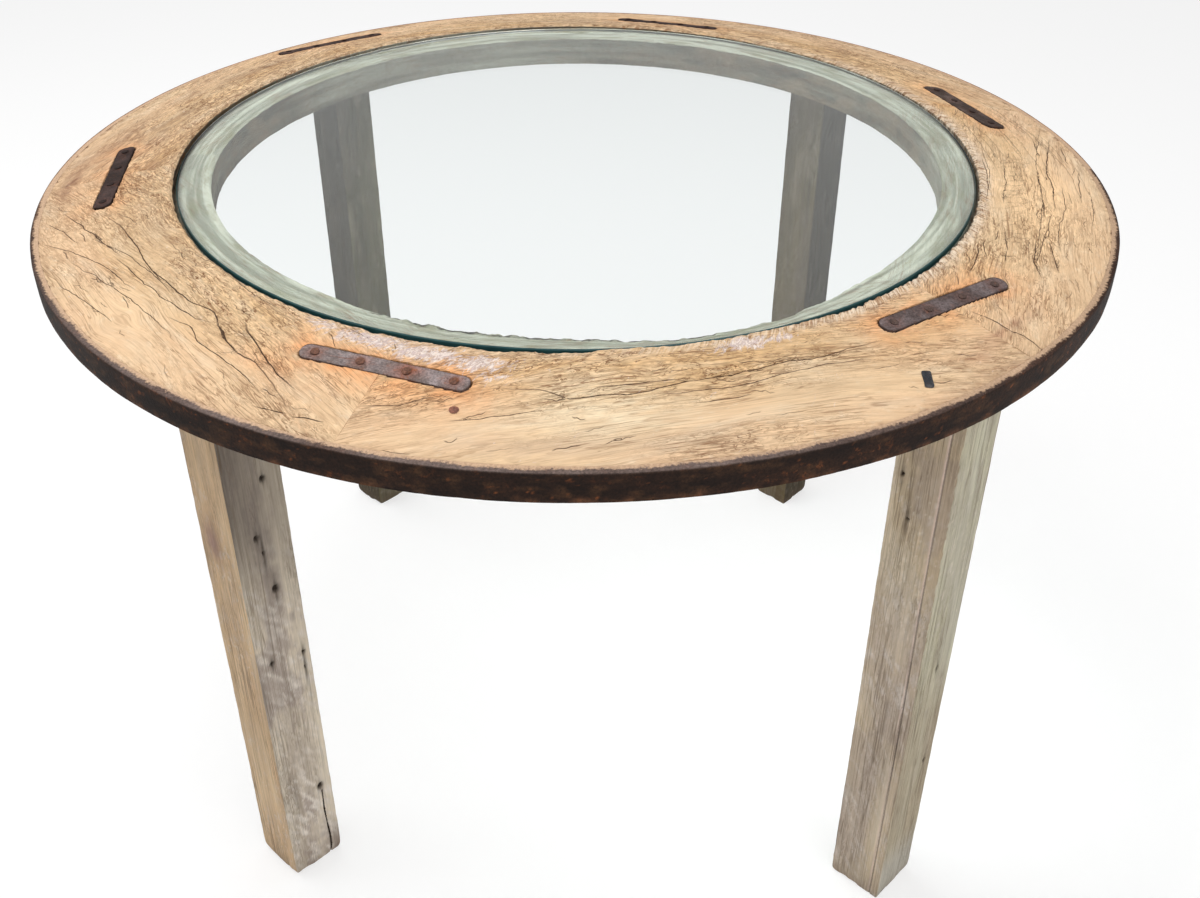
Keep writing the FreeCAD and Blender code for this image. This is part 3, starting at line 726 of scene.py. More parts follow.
# How wide each forged strap is beside its even bar, where hand work left it narrower or wider
FORGED_WIDTHS = {1: 0.82, 2: 1.20, 5: 0.84, 6: 0.77}
CRACK_BROWN, LINE_BROWN = shader_colour(62, 40, 26), shader_colour(122, 80, 47)
POST_CRACK, POST_LINE = shader_colour(48, 38, 30), shader_colour(104, 86, 66)


def felloe_angles(node):
    """First and last angle of a felloe, in radians, the last one larger."""
    points = node_points(node)
    middle = points.mean(0)
    about = math.atan2(middle[1], middle[0])
    angles = np.arctan2(points[:, 1], points[:, 0]) - about
    angles = (angles + math.pi) % (2 * math.pi) - math.pi
    return about + angles.min(), about + angles.max()


class Strap:
    """Where a cleat lies: its middle, its axes along, across and out of the wood, and its sizes."""

    def __init__(self, number):
        points = node_points(f"cleat_{number}")
        middle = (points.max(0) + points.min(0)) / 2
        along, _, out = np.linalg.svd(points - points.sum(0) / len(points), full_matrices=False)[2]
        if out[2] < 0:
            out = -out
        if along @ np.array((-middle[1], middle[0], 0)) < 0:
            along = -along
        across = np.cross(out, along)
        spread = (points - middle) @ np.array((along, across, out)).T
        low, high = spread.min(0), spread.max(0)
        self.axes = np.array((along, across, out))
        self.length, self.width, self.thickness = high - low
        self.width *= FORGED_WIDTHS.get(number, 1)
        self.corner = min(CLEAT_CORNER, CORNER_SHARE * self.width)
        self.middle = middle + (high + low) / 2 @ self.axes

    def local(self, points):
        """Points in the strap's own axes."""
        return (points - self.middle) @ self.axes.T

    def world(self, points):
        return points @ self.axes + self.middle

    def distance(self, points):
        """How far points lie outside the strap's outline."""
        spot = np.abs(self.local(points))
        past_end = np.maximum(spot[:, 0] - self.length / 2 + self.corner, 0)
        past_side = np.maximum(spot[:, 1] - self.width / 2 + self.corner, 0)
        return np.maximum(np.hypot(past_end, past_side) - self.corner, 0)


STRAPS = {number: Strap(number) for number in FELLOES}


# How far cracks wander and over what length, how steep their sides are and how far their dark line reaches
CRACK_WANDER, WANDER_LENGTH = 0.0018, 0.014
CRACK_SIDE, CRACK_MARGIN, CRACK_REACH = 0.0013, 0.01, 0.004


def crack_field(plan, seed, lines):
    """The cracks at each plan point: their depth, how far off the nearest is, and how open it is there.

    The distance is a signed share of the crack's half width, so that its line stays thin between points.
    """
    depth, openness = np.zeros(len(plan)), np.zeros(len(plan))
    offset, nearest = np.full(len(plan), FAR_OFF), np.full(len(plan), np.inf)
    flat = np.column_stack((plan, np.zeros(len(plan))))
    sway = [lumps(flat, WANDER_LENGTH, number) for number in (seed, seed + 9)]
    wander = CRACK_WANDER * np.column_stack(sway)
    for line, width, deep, strength in lines:
        low, high = np.min(line, axis=0) - CRACK_MARGIN, np.max(line, axis=0) + CRACK_MARGIN
        near = np.flatnonzero(np.all((plan > low) & (plan < high), axis=1))
        if not len(near):
            continue
        signed, along = line_distance(plan[near] + wander[near], line)
        taper = np.sqrt(np.clip(np.minimum(along, 1 - along) * 5, 0, 1))
        distance = np.abs(signed)
        depth[near] = np.maximum(depth[near], deep * taper * np.exp(-((distance / CRACK_SIDE) ** 2)))
        closer = (distance < nearest[near]) & (distance < CRACK_REACH)
        chosen = near[closer]
        nearest[chosen] = distance[closer]
        offset[chosen] = signed[closer] / width
        openness[chosen] = (strength * taper * smooth_step(distance, 0.0035, 0.0020))[closer]
    return depth, np.clip(offset, -FAR_OFF, FAR_OFF), openness


def seeded_cracks(seed, along, outward, span):
    """Small wavy cracks that follow one felloe's grain."""
    draw = np.random.default_rng(seed)
    found = []
    for _ in range(SEEDED_CRACKS):
        place = draw.uniform(-0.5, 0.5) * span
        radius = draw.uniform(WELL_RADIUS + 0.012, WOOD_OUTER - 0.016)
        half = draw.uniform(0.004, 0.016)
        lean = draw.normal(0, 0.08)
        start = outward * math.sqrt(max(radius**2 - place**2, 0.01)) + along * place
        way = along + outward * lean
        sway = zip(np.linspace(-1, 1, 7), np.cumsum(draw.normal(0, 0.0011, 7)))
        points = [start + way * half * share + outward * side for share, side in sway]
        strength = draw.uniform(0.4, 0.9)
        found.append((points, draw.uniform(0.0003, 0.0005), draw.uniform(0.0003, 0.0007), strength))
    return found


def ladder_cracks():
    """Short wavy cracks across the grain, one above the other, in the right felloe."""
    draw = np.random.default_rng(LADDER_SEED)
    found = []
    (left, top), (right, bottom), count = LADDER
    for level in np.linspace(top, bottom, count):
        start, end = left + draw.uniform(-2, 6), right + draw.uniform(-8, 3)
        across = np.linspace(start, end, 5)
        points = [on_rim((x, level + draw.normal(0, 0.8))) for x in across]
        found.append((points, 0.0003, 0.0004, draw.uniform(0.3, 0.65)))
    return found


def growth_cracks():
    """Thin wavy cracks that follow the rim in the right felloe."""
    draw = np.random.default_rng(GROWTH_SEED)
    found = []
    for radius in np.linspace(GROWTH_INNER, GROWTH_OUTER, GROWTH_COUNT):
        begin = draw.uniform(GROWTH_FIRST, GROWTH_LAST - 14)
        turns = np.radians(np.linspace(begin, begin + draw.uniform(8, 22), 11))
        radii = radius + np.cumsum(draw.normal(0, 0.0009, 11))
        points = [(math.cos(turn) * way, math.sin(turn) * way) for turn, way in zip(turns, radii)]
        found.append((points, draw.uniform(0.00025, 0.0005), 0.0005, draw.uniform(0.35, 0.7)))
    return found


def knot_swirl(own, places):
    """Moves the grain so that its lines run round each knot."""
    moved = own.copy()
    for place, reach in places:
        away = own[:, :2] - place
        share = np.exp(-(away**2).sum(1) / reach**2)
        moved[:, :2] -= KNOT_PULL * away * share[:, None]
    return moved


def within(plan, pixel, half_along, half_across):
    """How far each plan point lies inside a soft patch about the point that a pixel shows, as a share."""
    spot = np.array(on_rim(pixel))
    away, turn = plan - spot, spot / np.linalg.norm(spot)
    beside = away @ np.array((-turn[1], turn[0]))
    return np.exp(-((beside / half_along) ** 2) - ((away @ turn) / half_across) ** 2)


# How far the torn ribs lean round the rim for each metre outward
RIB_SLANT = 0.6
# Where the rim is furrowed along its grain and where it is ridged across it: middle angle and reach each way
FURROWED_MIDDLE, FURROWED_REACH = 160, 56
RIDGED_MIDDLE, RIDGED_REACH = 55, 44
# Share of each reach that is furrowed or ridged in full
FULL_REACH = 0.6
# Parts of the rim, each with its middle angle and its outer and inner reach: where worms have eaten the
# ledge's edge, the back, the back half with its sides, and a smoother stretch on the right
WORM_EATEN, BACK_SIDE, BACK_HALF, SMOOTH_RIGHT = (-95, 30, 12), (90, 75, 50), (90, 95, 60), (4, 30, 14)
# Radii between which the rim turns from rough to smooth
SMOOTH_FROM, SMOOTH_TO = 0.485, 0.545
# The most that the well's edge wears down
MOST_DROP = 0.0066
# How much wider and deeper than a cleat its pocket is, and how its rust fades and ends in the wood
POCKET_ROOM, POCKET_DEPTH = 0.0009, 0.0004
HALO_FADE, HALO_REACH = 0.019, 0.12
# Shares of the long cracks' widths and depths that are shown, and how dark they are
CRACK_WIDTH_SHARE, CRACK_DEPTH_SHARE, CRACK_STRENGTH = 0.42, 0.7, 0.95


class Felloe:
    """One felloe's points: a sector of the ring, with all that wear and colour depend on."""

    def __init__(self, number):
        self.number = number
        self.first, self.last = felloe_angles(f"felloe_{number}")
        rows, inward, sides, ends = section_rows(np.array(SECTION), ROW_SPACINGS)
        self.span = (self.last - self.first) * ((WOOD_INNER + WOOD_OUTER) / 2)
        columns = round(self.span / COLUMN_SPACING) + 1
        self.columns, self.rows, self.count = columns, len(rows), columns * len(rows)
        self.angles = np.repeat(np.linspace(self.first, self.last, columns), len(rows))
        self.degrees = (np.degrees(self.angles) + 180) % 360 - 180
        self.radius, self.height = (np.tile(column, columns) for column in rows.T)
        self.to_start, self.to_end = (np.tile(column, columns) for column in ends.T)
        self.into, self.side = np.tile(inward, (columns, 1)), np.tile(sides, columns)
        self.plan = np.column_stack((np.cos(self.angles), np.sin(self.angles))) * self.radius[:, None]
        self.solid = np.column_stack((self.plan, self.height))

        about = (self.first + self.last) / 2
        self.outward = np.array((math.cos(about), math.sin(about)))
        self.along = np.array((-math.sin(about), math.cos(about)))
        self.grain = self.bent_grain()

        self.top = (self.side == TOP) | (self.side == BEVEL)
        self.upper = self.top | ((self.side == WALL) & (self.to_start < 0.006))
        self.from_well = np.where(self.top, self.radius - WELL_RADIUS, 0)
        self.from_tyre = np.where(self.top, WOOD_OUTER - self.radius, WOOD_OUTER)
        self.smooth_outer = smooth_step(self.radius, SMOOTH_FROM, SMOOTH_TO)
        back = facing(self.degrees, *BACK_SIDE)
        nicks = peaks(lumps(self.solid, (0.007, 0.007, 0.02), 15), 0.08)
        self.rim_nick = np.exp(-self.from_tyre / 0.004) * nicks * (1 - 0.7 * back)
        self.fray = by_angle(self.degrees, FRAY_TABLE)
        self.ragged = lumps(self.solid, (0.010, 0.010, 0.03), 7)
        skewed = self.degrees + 120 * (self.radius - WELL_RADIUS)
        rib_place = np.column_stack((skewed / 0.95, self.radius / 0.016, self.height))
        self.rib = np.abs(lumps(rib_place, 1, 11, 2)) * self.fray
        self.frayed = np.exp(-((self.from_well / 0.020) ** 2)) * self.upper

    def bent_grain(self):
        """Each point along, across and up the wood's own grain, which bends round knots."""
        own = np.column_stack((self.plan @ self.along, self.plan @ self.outward, self.height))
        bends = (0.007, 40 + self.number), (0.003, 60 + self.number)
        bend = [reach * lumps(own, (0.09, 0.05, 0.2), seed, 2) for reach, seed in bends]
        knots = [(np.array((spot @ self.along, spot @ self.outward)), reach) for spot, reach in RIM_KNOTS]
        swirled = knot_swirl(own + np.column_stack((np.zeros(len(own)), *bend)), knots)
        return swirled + self.number * np.array((1.7, 0.9, 0.4))

    def roughness(self):
        """How rough the weather has left each point."""
        ridged = facing(self.degrees, *BACK_HALF)
        broad = lumps(self.grain, (0.12, 0.04, 0.05), 21, 2)
        rough = np.clip(0.90 + 0.3 * ridged + 0.9 * broad - 0.60 * self.smooth_outer, 0, 1)
        return rough * (1 - 0.35 * facing(self.degrees, *SMOOTH_RIGHT))

    def cracks(self):
        """The depth, offset and openness of the cracks of the upper face."""
        found = []
        for line, width, deep in CRACKS:
            points = [on_rim(pixel) for pixel in line]
            found.append((points, width * CRACK_WIDTH_SHARE, deep * CRACK_DEPTH_SHARE, CRACK_STRENGTH))
        found += ladder_cracks() + growth_cracks()
        found += seeded_cracks(self.number, self.along, self.outward, self.span)
        depth, offset, openness = crack_field(self.plan, 31, found)
        return np.where(self.top, depth, 0), offset, np.where(self.top, openness, 0)

    def worn_depth(self, rough, crack_depth):
        """How deep wear goes into each face."""
        side, grain, solid = self.side, self.grain, self.solid
        plank = 0.0004 * lumps(grain, (0.06, 0.006, 0.006), 3) + 0.0006 * lumps(solid, 0.05, 4, 2)
        pitting = 0.0005 * rough * np.clip(lumps(grain, (0.008, 0.003, 0.003), 5, 2), 0, 1) * 2
        depth = 0.0005 + plank + pitting
        depth += crack_depth
        inner_rough = (side == INNER) | (side == UNDER)
        depth += np.where(inner_rough, 0.0012 * (1 + lumps(grain, (0.05, 0.008, 0.008), 8)), 0)
        corner = np.minimum(self.to_start, self.to_end)
        edge_round = np.where(side >= LEDGE, 0.0016 * np.exp(-corner / 0.0022), 0)
        ledge_ragged = (side == LEDGE) & (self.to_end < 0.010) | (side == INNER) & (self.to_start < 0.008)
        eaten = 0.0010 + 0.004 * facing(self.degrees, *WORM_EATEN)
        edge_round += ledge_ragged * eaten * np.clip(0.4 + lumps(solid, 0.008, 19), 0, 1)
        depth += edge_round
        seam = np.minimum(self.angles - self.first, self.last - self.angles) * self.radius
        depth += 0.0005 * np.exp(-seam / 0.0012)
        depth *= np.where(side == OUTER, 0, smooth_step(self.from_tyre, 0, 0.003))
        return depth + np.where(self.top, 0.0026 * self.rim_nick, 0)

    def sunk_cleats(self, depth):
        """The depth with the cleats' pockets, and how dark and how rusty the wood is round them."""
        rust, dark = np.zeros(self.count), np.zeros(self.count)
        placed = self.solid - np.column_stack((np.zeros((self.count, 2)), depth))
        for number, strap in STRAPS.items():
            distance = strap.distance(placed)
            halo = HALOS[number] * np.exp(-distance / HALO_FADE) * (distance < HALO_REACH)
            rust = np.maximum(rust, halo)
            depth = np.where((distance < POCKET_ROOM) & self.top, strap.thickness + POCKET_DEPTH, depth)
            dark = np.maximum(dark, 0.6 * np.exp(-((distance / 0.0011) ** 2)) * self.top)
        return depth, dark, rust

    def moved(self, depth):
        """The points, moved into the wood by that depth and worn down at the well's edge."""
        near_well = self.upper * np.exp(-((self.from_well / WELL_WEAR_WIDTH) ** 2))
        well_wear = by_angle(self.degrees, WELL_WEAR_TABLE) / 1000
        drop = near_well * well_wear * (0.85 + 0.35 * self.ragged) + self.frayed * 0.0030 * self.rib
        shift = near_well * (0.0020 * (0.5 + 0.5 * self.ragged) + 0.0022 * self.rib)
        radius = self.radius + self.into[:, 0] * depth + shift
        loss = by_angle(self.degrees, LEDGE_LOSS_TABLE) / 1000
        kept = 1 - loss * (1 + 0.25 * lumps(self.solid, 0.02, 23)) / LEDGE_WIDTH
        radius = np.where(radius < WELL_RADIUS, WELL_RADIUS - (WELL_RADIUS - radius) * kept, radius)
        height = self.height + self.into[:, 1] * depth - np.clip(drop, 0, MOST_DROP)
        end_share = np.interp(self.angles, (self.first, self.last), (-1, 1))
        angles = self.angles + end_share * SEAM_CLOSING / self.radius
        return np.column_stack((np.cos(angles) * radius, np.sin(angles) * radius, np.minimum(height, CROWN)))

    def patched(self, patches):
        """The strongest of some patches at each point."""
        share = np.zeros(self.count)
        for pixel, half_along, half_across, strength in patches:
            inside = within(self.plan, pixel, half_along, half_across)
            share = np.maximum(share, strength * inside * self.upper)
        return share

    def upper_tint(self, rough, rust):
        """Colours of the upper face: tan wood, its streaks, stained patches, rust, pale fibre and dirt."""
        grain, solid, smooth_outer = self.grain, self.solid, self.smooth_outer
        patch = lumps(grain, (0.10, 0.03, 0.03), 51)
        coat = Coat(TAN, self.count)
        coat.over(GOLD, 0.35 + 1.1 * patch - 0.4 * smooth_outer)
        coat.over(PINK_TAN, smooth_outer * (0.45 + 0.6 * patch))
        coat.over(PALE, 0.6 * lumps(grain, (0.05, 0.012, 0.012), 52))
        coat.over(BROWN, (0.4 + 0.6 * rough) * peaks(lumps(grain, (0.10, 0.005, 0.005), 53), 0.15))
        coat.over(PALE, 0.4 * (peaks(lumps(grain, (0.007, 0.003, 0.003), 58), 0.25) * 2.2))
        broken = 0.85 + 0.8 * lumps(grain, (0.014, 0.0040, 0.0040), 55)
        for pixel, half_along, half_across, patch_colour, strength in PATCHES:
            share = self.upper * strength * within(self.plan, pixel, half_along, half_across)
            coat.over(patch_colour, share * broken)
        coat.over(RUST, rust * np.clip(0.7 + 0.9 * lumps(solid, 0.016, 54), 0, 1) * 0.90)
        fibre = self.frayed * self.fray * (0.35 + 0.8 * self.rib + 0.4 * self.ragged)
        coat.over(FLUFF, fibre * smooth_step(self.from_well, 0.032, 0.004))
        coat.over(DIRT, 1.3 * self.rim_nick + 0.15 * np.exp(-self.from_tyre / 0.003))
        return coat.tint

    def streaked(self, turn, step, rise, seed):
        """Noise with lumps of so many degrees round the wheel, and so large outward and upward."""
        spread = (self.degrees / turn, self.radius / step, self.height / rise)
        return lumps(np.column_stack(spread), 1, seed)

    def tint(self, rough, rust):
        """Colours of all faces."""
        streaks, stains = self.streaked(16, 0.0035, 0.006, 57), self.streaked(5, 0.009, 0.006, 62)
        rocky = self.streaked(4, 0.02, 0.014, 63)
        ledge = Coat(LEDGE_GREY, self.count)
        ledge.over(LEDGE_PALE, 0.45 + 1.4 * streaks)
        ledge.over(LEDGE_OLIVE, 1.3 * np.clip(stains + 0.05, 0, 1))
        # The ledge darkens towards the wall: painted shade in the corner under the rim's edge
        ledge.over(WALL_AND_SHADE_BROWN, smooth_step(self.radius, WELL_RADIUS - 0.010, WELL_RADIUS) * 0.7)
        wall = Coat(WALL_AND_SHADE_BROWN, self.count)
        wall.over(LEDGE_GREY, 0.2 + 0.8 * streaks)
        wall.over(WALL_OLIVE, (0.55 + 1.5 * rocky) * by_angle(self.degrees, WALL_OLIVE_TABLE))
        wall.over(LEDGE_PALE, (0.7 + 0.8 * streaks) * by_angle(self.degrees, WALL_PALE_TABLE))
        under = Coat(UNDER_BROWN, self.count).over(TAN, 0.15 + 0.5 * streaks)
        tint = self.upper_tint(rough, rust)
        for coat, sides in ((ledge, (LEDGE,)), (wall, (INNER, WALL)), (under, (UNDER, OUTER))):
            tint = np.where(np.isin(self.side, sides)[:, None], coat.tint, tint)
        return tint

    def torn_layers(self):
        """Where the material shows torn fibre, old paint, furrows and ridges."""
        torn_width = 0.0125 * (1 + 0.5 * lumps(self.solid, 0.016, 59))
        torn = np.clip(1.6 * self.fray - 0.45, 0, 1) * np.exp(-((self.from_well / torn_width) ** 4))
        uneven = np.clip(0.7 + 0.8 * lumps(self.solid, 0.04, 61), 0, 1) * self.upper
        uneven = uneven * (1 - 0.5 * self.smooth_outer)
        from_left = (self.degrees - FURROWED_MIDDLE + 180) % 360 - 180
        around = self.angles * WELL_RADIUS + RIB_SLANT * (self.radius - WELL_RADIUS)
        return {
            "polar": np.column_stack((around, self.radius, self.height)),
            "frayed": torn * self.upper,
            "paint": self.patched(FLAKING),
            "furrowed": facing(from_left, 0, FURROWED_REACH, FULL_REACH * FURROWED_REACH) * uneven,
            "ridged": facing(self.degrees, RIDGED_MIDDLE, RIDGED_REACH, FULL_REACH * RIDGED_REACH) * uneven,
        }


def make_felloe(number):
    """One felloe: a worn, cracked and rust-stained sector of the ring."""
    felloe = Felloe(number)
    crack_depth, crack_offset, crack_open = felloe.cracks()
    rough = felloe.roughness()
    depth, dark, rust = felloe.sunk_cleats(felloe.worn_depth(rough, crack_depth))
    rough = rough * (1 - 0.5 * rust)
    layers = {
        "tint": felloe.tint(rough, rust),
        "grain": felloe.grain,
        "rough": np.where(felloe.top, rough, 0.2),
        "dark": dark,
        "offset": crack_offset,
        "open": crack_open,
        **felloe.torn_layers(),
    }
    faces = [tube_faces(felloe.columns, felloe.rows), *cap_faces(felloe.columns, felloe.rows)]
    name, node = f"worn_felloe_{number}", f"felloe_{number}"
    new_piece(name, felloe.moved(depth), faces, TABLE, [RIM_WOOD], [node], layers)


# The tyre's rounded upper edge, and how finely its faces and its round are divided
TYRE_ROUNDING = 0.0028
TYRE_SPACINGS, TYRE_STEP = (0.006, 0.0015, 0.0012, 0.0007), 0.0021
# Colours of the tyre's outer face and of its upper edge, from its darker part to the worn front with a
# painted highlight, and the far one
TYRE_DARK, TYRE_BROWN, TYRE_OLIVE = colour(28, 15, 9), colour(50, 30, 19), colour(80, 54, 34)
TYRE_RUST, TYRE_FOOT = colour(150, 86, 46), colour(130, 86, 58)
EDGE_BROWN, EDGE_DARK = colour(82, 60, 50), colour(56, 38, 30)
EDGE_WEAR_HIGHLIGHT, EDGE_TAN = colour(128, 112, 106), colour(190, 142, 108)
# How far in the torn wood laps over the tyre
LAP_WIDTH, LAP_RAGGED = 0.0105, 0.26


def make_tyre():
    """The iron hoop: pitted outside, its outer top edge worn round, with torn wood lapping over its top."""
    inner_radius = TYRE_RADIUS - TYRE_THICKNESS
    corners = (
        (inner_radius, TYRE_TOP),
        (inner_radius, TYRE_BOTTOM),
        (TYRE_RADIUS, TYRE_BOTTOM),
        (TYRE_RADIUS, TYRE_TOP),
    )
    rows, inward, sides, ends = section_rows(np.array(corners), TYRE_SPACINGS)
    inside, bottom, outside, top = range(4)
    sides[0] = top
    ends[0] = (TYRE_THICKNESS, 0.0)
    to_edge = np.where(sides == inside, 1.0, np.where(sides == top, ends[:, 0], ends.min(axis=1)))
    past = TYRE_ROUNDING - (np.array((TYRE_RADIUS, TYRE_TOP)) - rows)
    scale = TYRE_ROUNDING / np.maximum(np.linalg.norm(past, axis=1), TYRE_ROUNDING)
    rounded = rows + (scale[:, None] - 1) * past
    rows = np.where((past > 0).all(axis=1)[:, None], rounded, rows)
    columns = round(2 * math.pi * TYRE_RADIUS / TYRE_STEP)
    angles = np.repeat(np.arange(columns) * 2 * math.pi / columns, len(rows))
    radius, height = (np.tile(column, columns) for column in rows.T)
    into, side, to_edge = np.tile(inward, (columns, 1)), np.tile(sides, columns), np.tile(to_edge, columns)
    solid = np.column_stack((np.cos(angles) * radius, np.sin(angles) * radius, height))
    far_side = smooth_step(np.abs(np.degrees(angles) - 92), 105, 80)
    front = facing(np.degrees(angles), 255, 62, 30)

    wear = 0.0005 * np.exp(-to_edge / 0.0025) * (1 + 0.6 * lumps(solid, 0.03, 70))
    pits = 0.0002 * np.clip(lumps(solid, 0.006, 71), 0, 1)
    pits = pits + 0.0003 * (1 + lumps(solid, 0.05, 72, 2))
    lip = np.where(side == top, 0.0002 + 0.0010 * far_side, 0)
    depth = np.where(side == inside, 0.0, wear + pits + lip)
    depth *= np.where(side == top, smooth_step(radius, inner_radius, inner_radius + 0.0035), 1.0)
    moves = (np.cos(angles) * into[:, 0] * depth, np.sin(angles) * into[:, 0] * depth, into[:, 1] * depth)

    sheen, mottle = lumps(solid, (0.05, 0.05, 0.012), 76), lumps(solid, (0.03, 0.03, 0.012), 74)
    coat = Coat(TYRE_DARK, len(solid)).over(TYRE_BROWN, 0.35 + 0.9 * mottle)
    coat.over(TYRE_OLIVE, peaks(lumps(solid, (0.014, 0.014, 0.007), 79), 0.05))
    coat.over(TYRE_RUST, 2.4 * peaks(lumps(solid, 0.0045, 77), 0.48))
    low = smooth_step(height, TYRE_BOTTOM + 0.010, TYRE_BOTTOM)
    coat.over(TYRE_FOOT, low * (side != top) * (0.05 + 0.8 * lumps(solid, 0.012, 75)))
    # The upper edge: worn iron, lighter than the face, with a painted highlight on its rounded front part
    edge = Coat(EDGE_BROWN, len(solid)).over(EDGE_DARK, 0.45 + 1.2 * sheen)
    edge.over(EDGE_WEAR_HIGHLIGHT, front * (0.62 + 0.7 * sheen)).over(EDGE_TAN, far_side * (0.75 + 0.4 * mottle))
    on_top = (side == outside) * smooth_step(height, TYRE_TOP - 0.0028, TYRE_TOP - 0.0006)
    on_top = np.where(side == top, 1.0, on_top)
    coat.over(edge.tint, on_top * (0.85 + 0.3 * mottle))
    lap = np.clip(1 - (radius - inner_radius) / LAP_WIDTH, 0, 1) + LAP_RAGGED * lumps(solid, 0.022, 78)
    lap += 0.8 * far_side - 0.16 * front
    layers = {
        "tint": coat.tint,
        "grain": solid,
        "rust": np.where(side == outside, np.clip(0.8 * mottle, 0, 1), 0.1),
        "lap": (side == top) * np.clip(lap, 0, 1.5),
        "worn": np.clip(on_top * (1 - far_side) * (0.35 + 0.4 * sheen), 0, 1),
    }
    faces = [tube_faces(columns, len(rows), closed=True)]
    points = solid + np.column_stack(moves)
    new_piece("rusted_tyre", points, faces, TABLE, [TYRE_IRON], ["iron_tyre"], layers)


def dished_plate(half_length, half_width, corner, thickness, spacing):
    """Points of a flat bar with rounded corners, finely divided, and the counts of its rings. Its top lies at
    zero.

    Rings run from the middle of the top out over the edge and back under it.
    """
    around = int(4 * (half_length + half_width) / spacing)
    quarter = half_length + half_width
    turn = np.arange(around) / around * 4 * quarter
    reached = (0, half_length, quarter, 2 * half_length + half_width, 2 * quarter)
    corners = np.array(((-1, -1), (1, -1), (1, 1), (-1, 1), (-1, -1))) * (half_length, half_width)
    outline = np.array([np.interp(turn, np.array(reached) * 2, side) for side in corners.T]).T
    inner = np.array((half_length - corner, half_width - corner))
    held = np.clip(outline, -inner, inner)
    past = outline - held
    length = np.linalg.norm(past, axis=1)
    outline = held + past / np.maximum(length, TINY)[:, None] * corner
    straight = half_length - half_width
    spine = np.column_stack((np.clip(outline[:, 0], -straight, straight), np.zeros(around)))

    def ring(share, depth):
        return np.column_stack((spine + (outline - spine) * share, np.full(around, -depth)))

    top_rings, side_rings = max(3, round(half_width / spacing)), max(2, round(thickness / spacing))
    rings = [ring(share, 0.0) for share in np.linspace(0, 1, top_rings + 1)[1:]]
    for step in range(1, side_rings + 1):
        rings.append(np.column_stack((outline, np.full(around, -thickness * step / side_rings))))
    rings += [ring(share, thickness) for share in (0.6, 0.2)]
    return np.vstack(rings), len(rings), around, top_rings


# The cleats' colours: dark and pale of the bar, its nail heads, and how rusty it is round them
DARK_BAR = (colour(44, 31, 27), colour(76, 58, 54), colour(50, 36, 32), 0.10)
GREY_BAR = (colour(86, 74, 72), colour(128, 116, 116), colour(92, 74, 68), 0.30)
BROWN_BAR = (colour(64, 52, 47), colour(102, 86, 80), colour(66, 50, 45), 0.15)
PALE_BAR = (colour(112, 100, 96), colour(162, 150, 150), colour(124, 86, 70), 0.75)
CLEAT_COLOURS = {1: GREY_BAR, 2: BROWN_BAR, 3: DARK_BAR, 4: DARK_BAR, 5: DARK_BAR, 6: PALE_BAR}
CLEAT_RUST = colour(140, 80, 54)
# The cleat and the nail round which rust has run, and half the sizes of the run
SMEARED_CLEAT, SMEARED_NAIL, SMEAR_SIZES = 6, 2, (0.014, 0.010)
# How far the outer nails stand from a cleat's ends, and how finely its bar is divided
NAIL_INSET = 0.014
CLEAT_SPACING = 0.0011


def make_cleat(number):
    """A hand-forged iron strap, dressed with a hammer and pitted, with rust round its nails."""
    strap = STRAPS[number]
    dark_bar, pale_bar, head_colour, rusty = CLEAT_COLOURS[number]
    plate = dished_plate(strap.length / 2, strap.width / 2, strap.corner, strap.thickness, CLEAT_SPACING)
    local, rings, around, top_rings = plate
    nails = np.linspace(-strap.length / 2 + NAIL_INSET, strap.length / 2 - NAIL_INSET, NAILS_PER_CLEAT)
    seeded = local + number * 0.37
    edge = np.repeat(np.arange(rings) >= top_rings - 1, around)
    hammer = 0.0004 * lumps(seeded, (0.014, 0.012, 0.01), 80, 2)
    pits = 0.00025 * lumps(seeded, 0.004, 81, 2)
    away = np.min([np.hypot(local[:, 0] - place, local[:, 1]) for place in nails], axis=0)
    dish = 0.0005 * np.exp(-((away / 0.007) ** 2)) * rusty
    fall = np.where(local[:, 2] > -TOP_SLACK, 0.0006 + hammer + pits + dish + 0.0006 * edge, 0)
    ragged = 1 + np.where(edge, 0.02 * lumps(seeded, 0.010, 82), 0)
    shaped = np.column_stack((local[:, 0], local[:, 1] * ragged, local[:, 2] - fall + strap.thickness / 2))
    mottle = lumps(seeded, 0.014, 83)
    rust = rusty * np.exp(-((away / 0.0085) ** 2)) * (0.8 + 0.5 * mottle)
    if number == SMEARED_CLEAT:
        smear = np.hypot((local[:, 0] - nails[SMEARED_NAIL]) / SMEAR_SIZES[0], local[:, 1] / SMEAR_SIZES[1])
        rust = np.maximum(rust, np.exp(-(smear**2)) * (0.7 + 0.9 * mottle))
    coat = Coat(dark_bar, len(local)).over(pale_bar, 0.35 + 1.2 * mottle)
    coat.over(0.6 * dark_bar, 0.5 * edge + 0.7 * lumps(seeded, 0.006, 84)).over(CLEAT_RUST, rust)
    layers = {
        "tint": coat.tint,
        "grain": seeded,
        "worn": np.clip(0.4 + mottle - rust, 0, 1) * rusty,
        "rust": np.clip(0.2 + rust, 0, 1),
    }
    new_piece(
        f"forged_cleat_{number}", strap.world(shaped), solid_faces(rings, around), TABLE, [CLEAT_IRON],
        [f"cleat_{number}"], layers,
    )

    heads, head_faces = [], []
    for index, place in enumerate(nails):
        points, quads = nail_head(number * NAILS_PER_CLEAT + index)
        head_faces += [block + index * len(points) for block in quads]
        heads.append(points + np.array((place, 0, strap.thickness / 2)))
    points = np.vstack(heads)
    noise = lumps(points + number, 0.003, 85)
    coat = Coat(head_colour, len(points)).over(0.6 * head_colour, 0.5 + noise)
    new_piece(
        f"cleat_nail_heads_{number}", strap.world(points), head_faces, TABLE, [NAIL_IRON],
        [f"cleat_nails_{number}"], iron_layers(coat.tint, points + number, 0.2 * rusty, 0.6 * rusty),
    )


